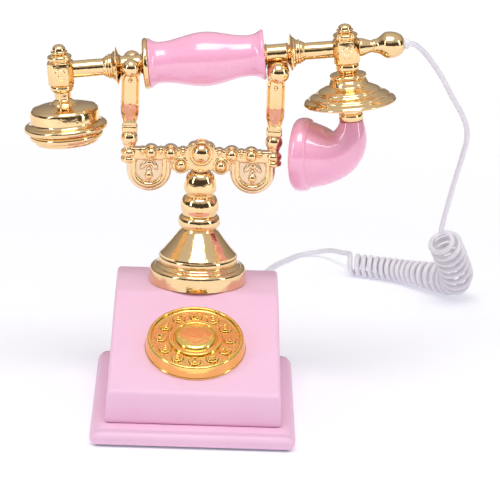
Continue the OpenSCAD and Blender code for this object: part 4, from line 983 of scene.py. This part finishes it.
def hoop(x, y, z, major, minor):
    """A round ring that faces front."""
    deselect()
    bpy.ops.mesh.primitive_torus_add(major_segments=64, minor_segments=16, major_radius=major * MM,
                                     minor_radius=minor * MM, rotation=(math.pi / 2, 0, 0),
                                     location=(x * MM, y * MM, z * MM))
    keep(settle(bpy.context.object, "hoop"))


def u_band(x, y, z, major, minor, rise, deep=1.0):
    """A half-round band: a circle spun half a turn under (x, z), with its two ends drawn up."""
    deselect()
    bpy.ops.mesh.primitive_circle_add(vertices=24, radius=minor * MM, fill_type="NGON", enter_editmode=True)
    stretch(1, deep, 1)
    move(x + major, y, z)
    bpy.ops.mesh.extrude_region_move(TRANSFORM_OT_translate={"value": (0, 0, rise * MM)})
    piece = bpy.context.object
    choose(piece, lambda v: v.z < z + 0.01)
    bpy.ops.mesh.spin(steps=40, angle=-math.pi, center=(x * MM, y * MM, z * MM), axis=(0, 1, 0))
    choose(piece, lambda v: v.z < z + 0.01 and v.x < x - major + minor + 0.5 and v.z > z - 0.01)
    bpy.ops.mesh.extrude_region_move(TRANSFORM_OT_translate={"value": (0, 0, rise * MM)})
    mend(0.00001)
    keep(piece)


def gather():
    """Joins the pattern's parts."""
    piece = join_to(*pattern)
    pattern.clear()
    return piece


def cast(voxel, rounds):
    """Fuses the pattern's parts into one skin, softens it and keeps it for what is set on it."""
    piece = gather()
    alter(piece, "REMESH", mode="VOXEL", voxel_size=voxel * MM, use_smooth_shade=True)
    alter(piece, "SMOOTH", factor=0.5, iterations=rounds)
    keep(piece)


# %% Lay out the cradle's plate and cast it
VOXEL = 0.5
ARM_X, LOBE_X, LOBE_R, LOBE_Z = ARM_SPAN / 2, 36.2, 15.8, -12.2
# Along the bar and up from its middle, then the radius of the boss and that of its bead.
BOSSES = ((12.8, 1, 3.4, 1.9), (14, -8, 6.4, 3.9), (21.3, 0, 5.9, 4.6), (28.2, 1, 2.9, 1.7),
          (35, 0, 5.5, 4.3), (41, 0.6, 3, 1.8))
block(-49.4, 49.4, -5, 3.2, 7.8, 0.8)
block(-23, 23, -PLAQUE_FOOT, 2, 5.6, 0.8)
block(-10.4, 10.4, -PLAQUE_FOOT, 4, 9.6, 1.2)
block(-6, 6, 0, 8.2, 9.6, 1.2)
for side in (-1, 1):
    slab(side * 4.4, 2.2, 6, 9.6)
    for x, z, r, bead_r in BOSSES:
        slab(side * x, z, r, 8.6)
    slab(side * LOBE_X, LOBE_Z, LOBE_R - 2, 3.4, 0.8)
    block(side * LOBE_X - LOBE_R + 2, side * LOBE_X + LOBE_R - 2, LOBE_Z, -3.4, 3.4, 0.6)
    u_band(side * LOBE_X, 0, LOBE_Z, 13.3, 2.5, 8.4, 1.5)
    block(side * (ARM_X - 1) - 4.8, side * (ARM_X - 1) + 4.8, -7.6, 2.2, 8.6, 2.2)
cast(VOXEL, 2)
print("plate:", len(pattern[0].data.polygons), "faces")

# %% [markdown]
# Bright beads, bands and collars were chased after casting, and stay crisp. They are set on the
# softened plate as they are: balls a little sunk in their bosses, half-round bands inside the
# rims of the lobes, and the turned stack under each arm.

# %% Set the crisp parts on the plate
# Across and up from the middle of a lobe, then the radius, how tall it is and how far it leans.
LEAVES = ((-3.4, 3.4, 2.1, 2.2, -35), (3.4, 3.4, 2.1, 2.2, 35), (0, 4.6, 2.6, 1, 0),
          (0, -0.8, 2.2, 1.3, 0), (0, -4.4, 3.1, 1.1, 0), (0, -7, 1.5, 1.4, 0))
for face in (-1, 1):
    ball(0, face * 3.2, 0.6, 7, 0.85, 1.05)
    hoop(0, face * 4.6, 0.4, 8.3, 0.7)
    for side in (-1, 1):
        for x, z, r, bead_r in BOSSES:
            ball(side * x, face * (4.3 - bead_r / 5), z, bead_r)
        hoop(side * 14, face * 4.1, -8, 4.9, 1.1)
        u_band(side * LOBE_X, face * 2.9, LOBE_Z, 10.9, 1.8, 8.4)
        for x, z, r, tall, lean in LEAVES:
            ball(side * LOBE_X + x, face * 1.5, LOBE_Z + z, r, 1.0, tall, lean)
for side in (-1, 1):
    keep(turned("arm_stack", [(3.6, -8)] + bead(4.6, -7.4, -3.6, 1.3, 10) + [(4.4, -3.4)]
                + bead(4.6, -3, 1.4, 1.3, 10) + [(4.3, 1.8), (3.9, 3)] + swing(4, 3.2, 4.6, 5.4, 6)
                + arc(0, 9.6, 6.1, 6.1, range(-44, 45, 8)) + [(4.3, 14.2), (4.6, 15)],
                Matrix.Translation((side * ARM_X * MM, 0, 0)), sides=64))
    block(side * ARM_X - 5.5, side * ARM_X + 5.5, 14.2, 19.4, 10.6, 1.4)
keep(turned("foot_collar", [(4.8, -12.88), (5.1, -12.6)] + bead(5.1, -12.5, -10.9, 0.7, 6)))
cradle = settle(gather(), "cradle_casting", IN_CRADLE, 50)
belongs(cradle, "cradle", "gilt", chased_gold, "cradle")

# %% [markdown]
# ## Forks
# Each arm ends in a two-pronged fork that carries the handset between or on its beads. A fork has
# one outline from the front and another from the side. Cutting a plate of one outline with a
# plate of the other gives both at once; the saddle is cut out next, and the outer faces are then
# inset twice, which leaves a raised rim round a sunk panel.

# %% Plates from an outline
def plate(outline, depth, place):
    """A flat solid from a drawn outline: a filled curve with thickness, turned into a mesh."""
    drawing = bpy.data.curves.new("plate", "CURVE")
    drawing.dimensions, drawing.fill_mode, drawing.extrude = "2D", "BOTH", depth / 2 * MM
    line = drawing.splines.new("POLY")
    line.points.add(len(outline) - 1)
    for point, (across, up) in zip(line.points, outline):
        point.co = (across * MM, up * MM, 0, 1)
    line.use_cyclic_u = True
    piece = new_object("plate", drawing)
    select_only(piece)
    bpy.ops.object.convert(target="MESH")
    edit_mode()
    mend(0.000005)
    return settle(piece, "plate", place)


# %% Blade and panels
FORK_W, FORK_FOOT, SHOULDER, FAR_UP = 12.6, 19.4, 39.4, 80
RIM, PANEL_DEPTH = 0.7, 1.5
FACING_SIDE = Matrix.Rotation(math.pi / 2, 4, "Z") @ UPRIGHT


def fork_blade(half_top, up, saddle):
    """The fork without its beads; saddle is the outline, seen from the side, of what is cut out."""
    flank = swing(5, FORK_FOOT, half_top, SHOULDER, 16) + [(half_top, up)]
    front = swing(4.5, FORK_FOOT + 1, FORK_W / 2, 31.4, 8)
    front = [(4.5, FORK_FOOT)] + front + arc(0, up - 8.3, FORK_W / 2, FORK_W / 2, range(0, 91, 10))
    piece = plate(flank + [(-y, z) for y, z in reversed(flank)], FORK_W, FACING_SIDE)
    combine(piece, plate(front + [(-a, z) for a, z in reversed(front[:-1])], 60, UPRIGHT), "INTERSECT")
    combine(piece, plate(saddle, 30, FACING_SIDE), "DIFFERENCE")
    return piece


def sink_panels(piece):
    """Insets the front and back faces: a rim, and a slope down to a sunk panel."""
    bpy.context.scene.tool_settings.mesh_select_mode = (False, False, True)
    for face in (-1, 1):
        for flat in piece.data.polygons:
            outward, place = face * flat.normal.y, flat.center / MM
            flat.select = outward > 0.5 and place.z > FORK_FOOT + 1.1 and face * place.y > 4
        edit_mode()
        bpy.ops.mesh.inset(thickness=RIM * MM, depth=0)
        bpy.ops.mesh.inset(thickness=PANEL_DEPTH * MM, depth=-PANEL_DEPTH * MM)
        object_mode()
    bpy.context.scene.tool_settings.mesh_select_mode = (True, False, False)


# %% Forks
def fork(name, x, half_top, up, bead_place, bead_r, saddle):
    """A fork at x on the bar; bead_place is across and out from the middle of its top."""
    piece = fork_blade(half_top, up, saddle)
    sink_panels(piece)
    alter(piece, "BEVEL", width=0.4 * MM, segments=2, limit_method="ANGLE", angle_limit=math.radians(40))
    studs = ((bead_r, *bead_place, up), (1.6, 0, half_top - 1.2, up - bead_r - 2.4),
             (0.8, 0, half_top - 0.9, up - 27))
    for face in (-1, 1):
        for r, across, out, z in studs:
            add_ball(piece, r, (across, face * out, z), 48)
    return settle(piece, name, IN_CRADLE @ Matrix.Translation((x * MM, 0, 0)), 35)


def saddle_cut(r, z, step):
    """A half-round trough about z that is open upwards."""
    return arc(0, z, r, r, range(-180, 1, step)) + [(r, FAR_UP), (-r, FAR_UP)]


FORKS = (("receiver", -ARM_X, 16.2, 62.4, (0, 14.045), 6.4, saddle_cut(7.645, 61.7, 10)),
         ("transmitter", ARM_X, 14.2, 61, (1.31, 8.8), 7.8, saddle_cut(1.4, 42.8, 15)))
for end, *shape in FORKS:
    belongs(fork(end + "_fork_casting", *shape), "cradle", "gilt", gold, end + "_fork")

# %% [markdown]
# ## Floor and light
# The telephone stands on a wide pale floor that glows a little, less so near the telephone. Metal
# shows nothing but its surroundings, so the light is planned for the gold: a broad soft ceiling
# and two narrow side panels give the long cream highlights. The room on the camera's side has a
# dark band from eye level up, which draws the dark accents that make the gold read as polished
# metal; behind the telephone it is paler. The camera itself sees a white room.

# %% Floor
deselect()
bpy.ops.mesh.primitive_plane_add(size=14, enter_editmode=True)
bpy.ops.mesh.subdivide(number_cuts=3)
object_mode()
floor = bpy.context.object
floor.name = "floor"
paper, at = start_finish("white_paper")
away = at.add("ShaderNodeVectorMath", {"operation": "LENGTH"}, {0: at}, out="Value")
GLOW = [(0.0, (0.24, 0.24, 0.30)), (0.2, (0.29, 0.29, 0.33)), (1.0, (0.85, 0.85, 0.85))]
glow = away.add("ShaderNodeValToRGB", {"stops": GLOW}, {0: 0.4 * away})
end_finish(at, Base_Color=blend_colours(noise(at, 3), (0.80, 0.80, 0.80), (0.83, 0.83, 0.83)),
           Roughness=0.7 + 0.1 * noise(at, 40), Emission_Color=glow, Emission_Strength=1.0)
dress(floor, paper)
floor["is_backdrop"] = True
print("floor", round(floor.dimensions.x, 1), "m wide")

# %% Room
world = bpy.data.worlds.new("studio")
bpy.context.scene.world = world
world.use_nodes = True
world.node_tree.nodes.clear()
start = Wire(world.node_tree)
way = start.add("ShaderNodeTexCoord", out="Generated")
level = 0.5 + 0.5 * axis(way, "Z")
NEAR_FLOOR = [(0.0, (0.75, 0.75, 0.8)), (0.47, (0.6, 0.6, 0.64))]
FRONT = NEAR_FLOOR + [(0.5, (0.08, 0.07, 0.06)), (0.7, (0.10, 0.09, 0.08)), (0.76, (0.9, 0.9, 0.9)),
                      (1.0, (1.0, 1.0, 1.0))]
BEHIND = NEAR_FLOOR + [(0.52, (0.34, 0.3, 0.27)), (0.7, (0.6, 0.56, 0.52)), (1.0, (1.0, 1.0, 1.0))]
front, behind = (level.add("ShaderNodeValToRGB", {"stops": stops}, {0: level}) for stops in (FRONT, BEHIND))
room = blend_colours(smooth_step(axis(way, "Y"), -0.1, 0.5), front, behind)
lit = start.add("ShaderNodeBackground", None, {"Color": room, "Strength": 0.7})
seen = start.add("ShaderNodeBackground", None, {"Color": (1, 1, 1, 1), "Strength": 1.0})
by_eye = start.add("ShaderNodeLightPath", out="Is Camera Ray")
mixed = start.add("ShaderNodeMixShader", None, {0: by_eye, 1: lit, 2: seen})
start.add("ShaderNodeOutputWorld", None, {"Surface": mixed})
print("room:", len(world.node_tree.nodes), "nodes")

# %% Lamps
def panel(name, place, aim, size, power, tint):
    """A soft rectangular lamp at a place, turned to its aim."""
    lamp = bpy.data.lights.new(name, "AREA")
    lamp.shape, lamp.size, lamp.size_y = "RECTANGLE", *size
    lamp.energy, lamp.color = power, tint
    holder = new_object(name, lamp)
    facing = (Vector(aim) - Vector(place)).to_track_quat("-Z", "Y").to_matrix().to_4x4()
    holder.matrix_world = Matrix.Translation(place) @ facing


WARM, COOL = (1.0, 0.985, 0.965), (0.86, 0.95, 1.0)
panel("ceiling", (0, -0.6, 1.7), (0, 0, 0.1), (1.0, 0.8), 13, WARM)
panel("left_panel", (-1.4, -0.9, 0.9), (0, 0, 0.15), (0.22, 1.2), 5, COOL)
panel("right_panel", (1.5, -0.7, 0.8), (0, 0, 0.15), (0.22, 1.2), 4.2, COOL)
bpy.context.scene.view_settings.view_transform = "Standard"
print("three panels")

# %% Compare the boxes and finish
visual_box = [list(corner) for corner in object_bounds()]
for cad_corner, visual_corner in zip(cad_box, visual_box):
    print("grown by", [round(1000 * (b - a), 2) for a, b in zip(cad_corner, visual_corner)], "mm")
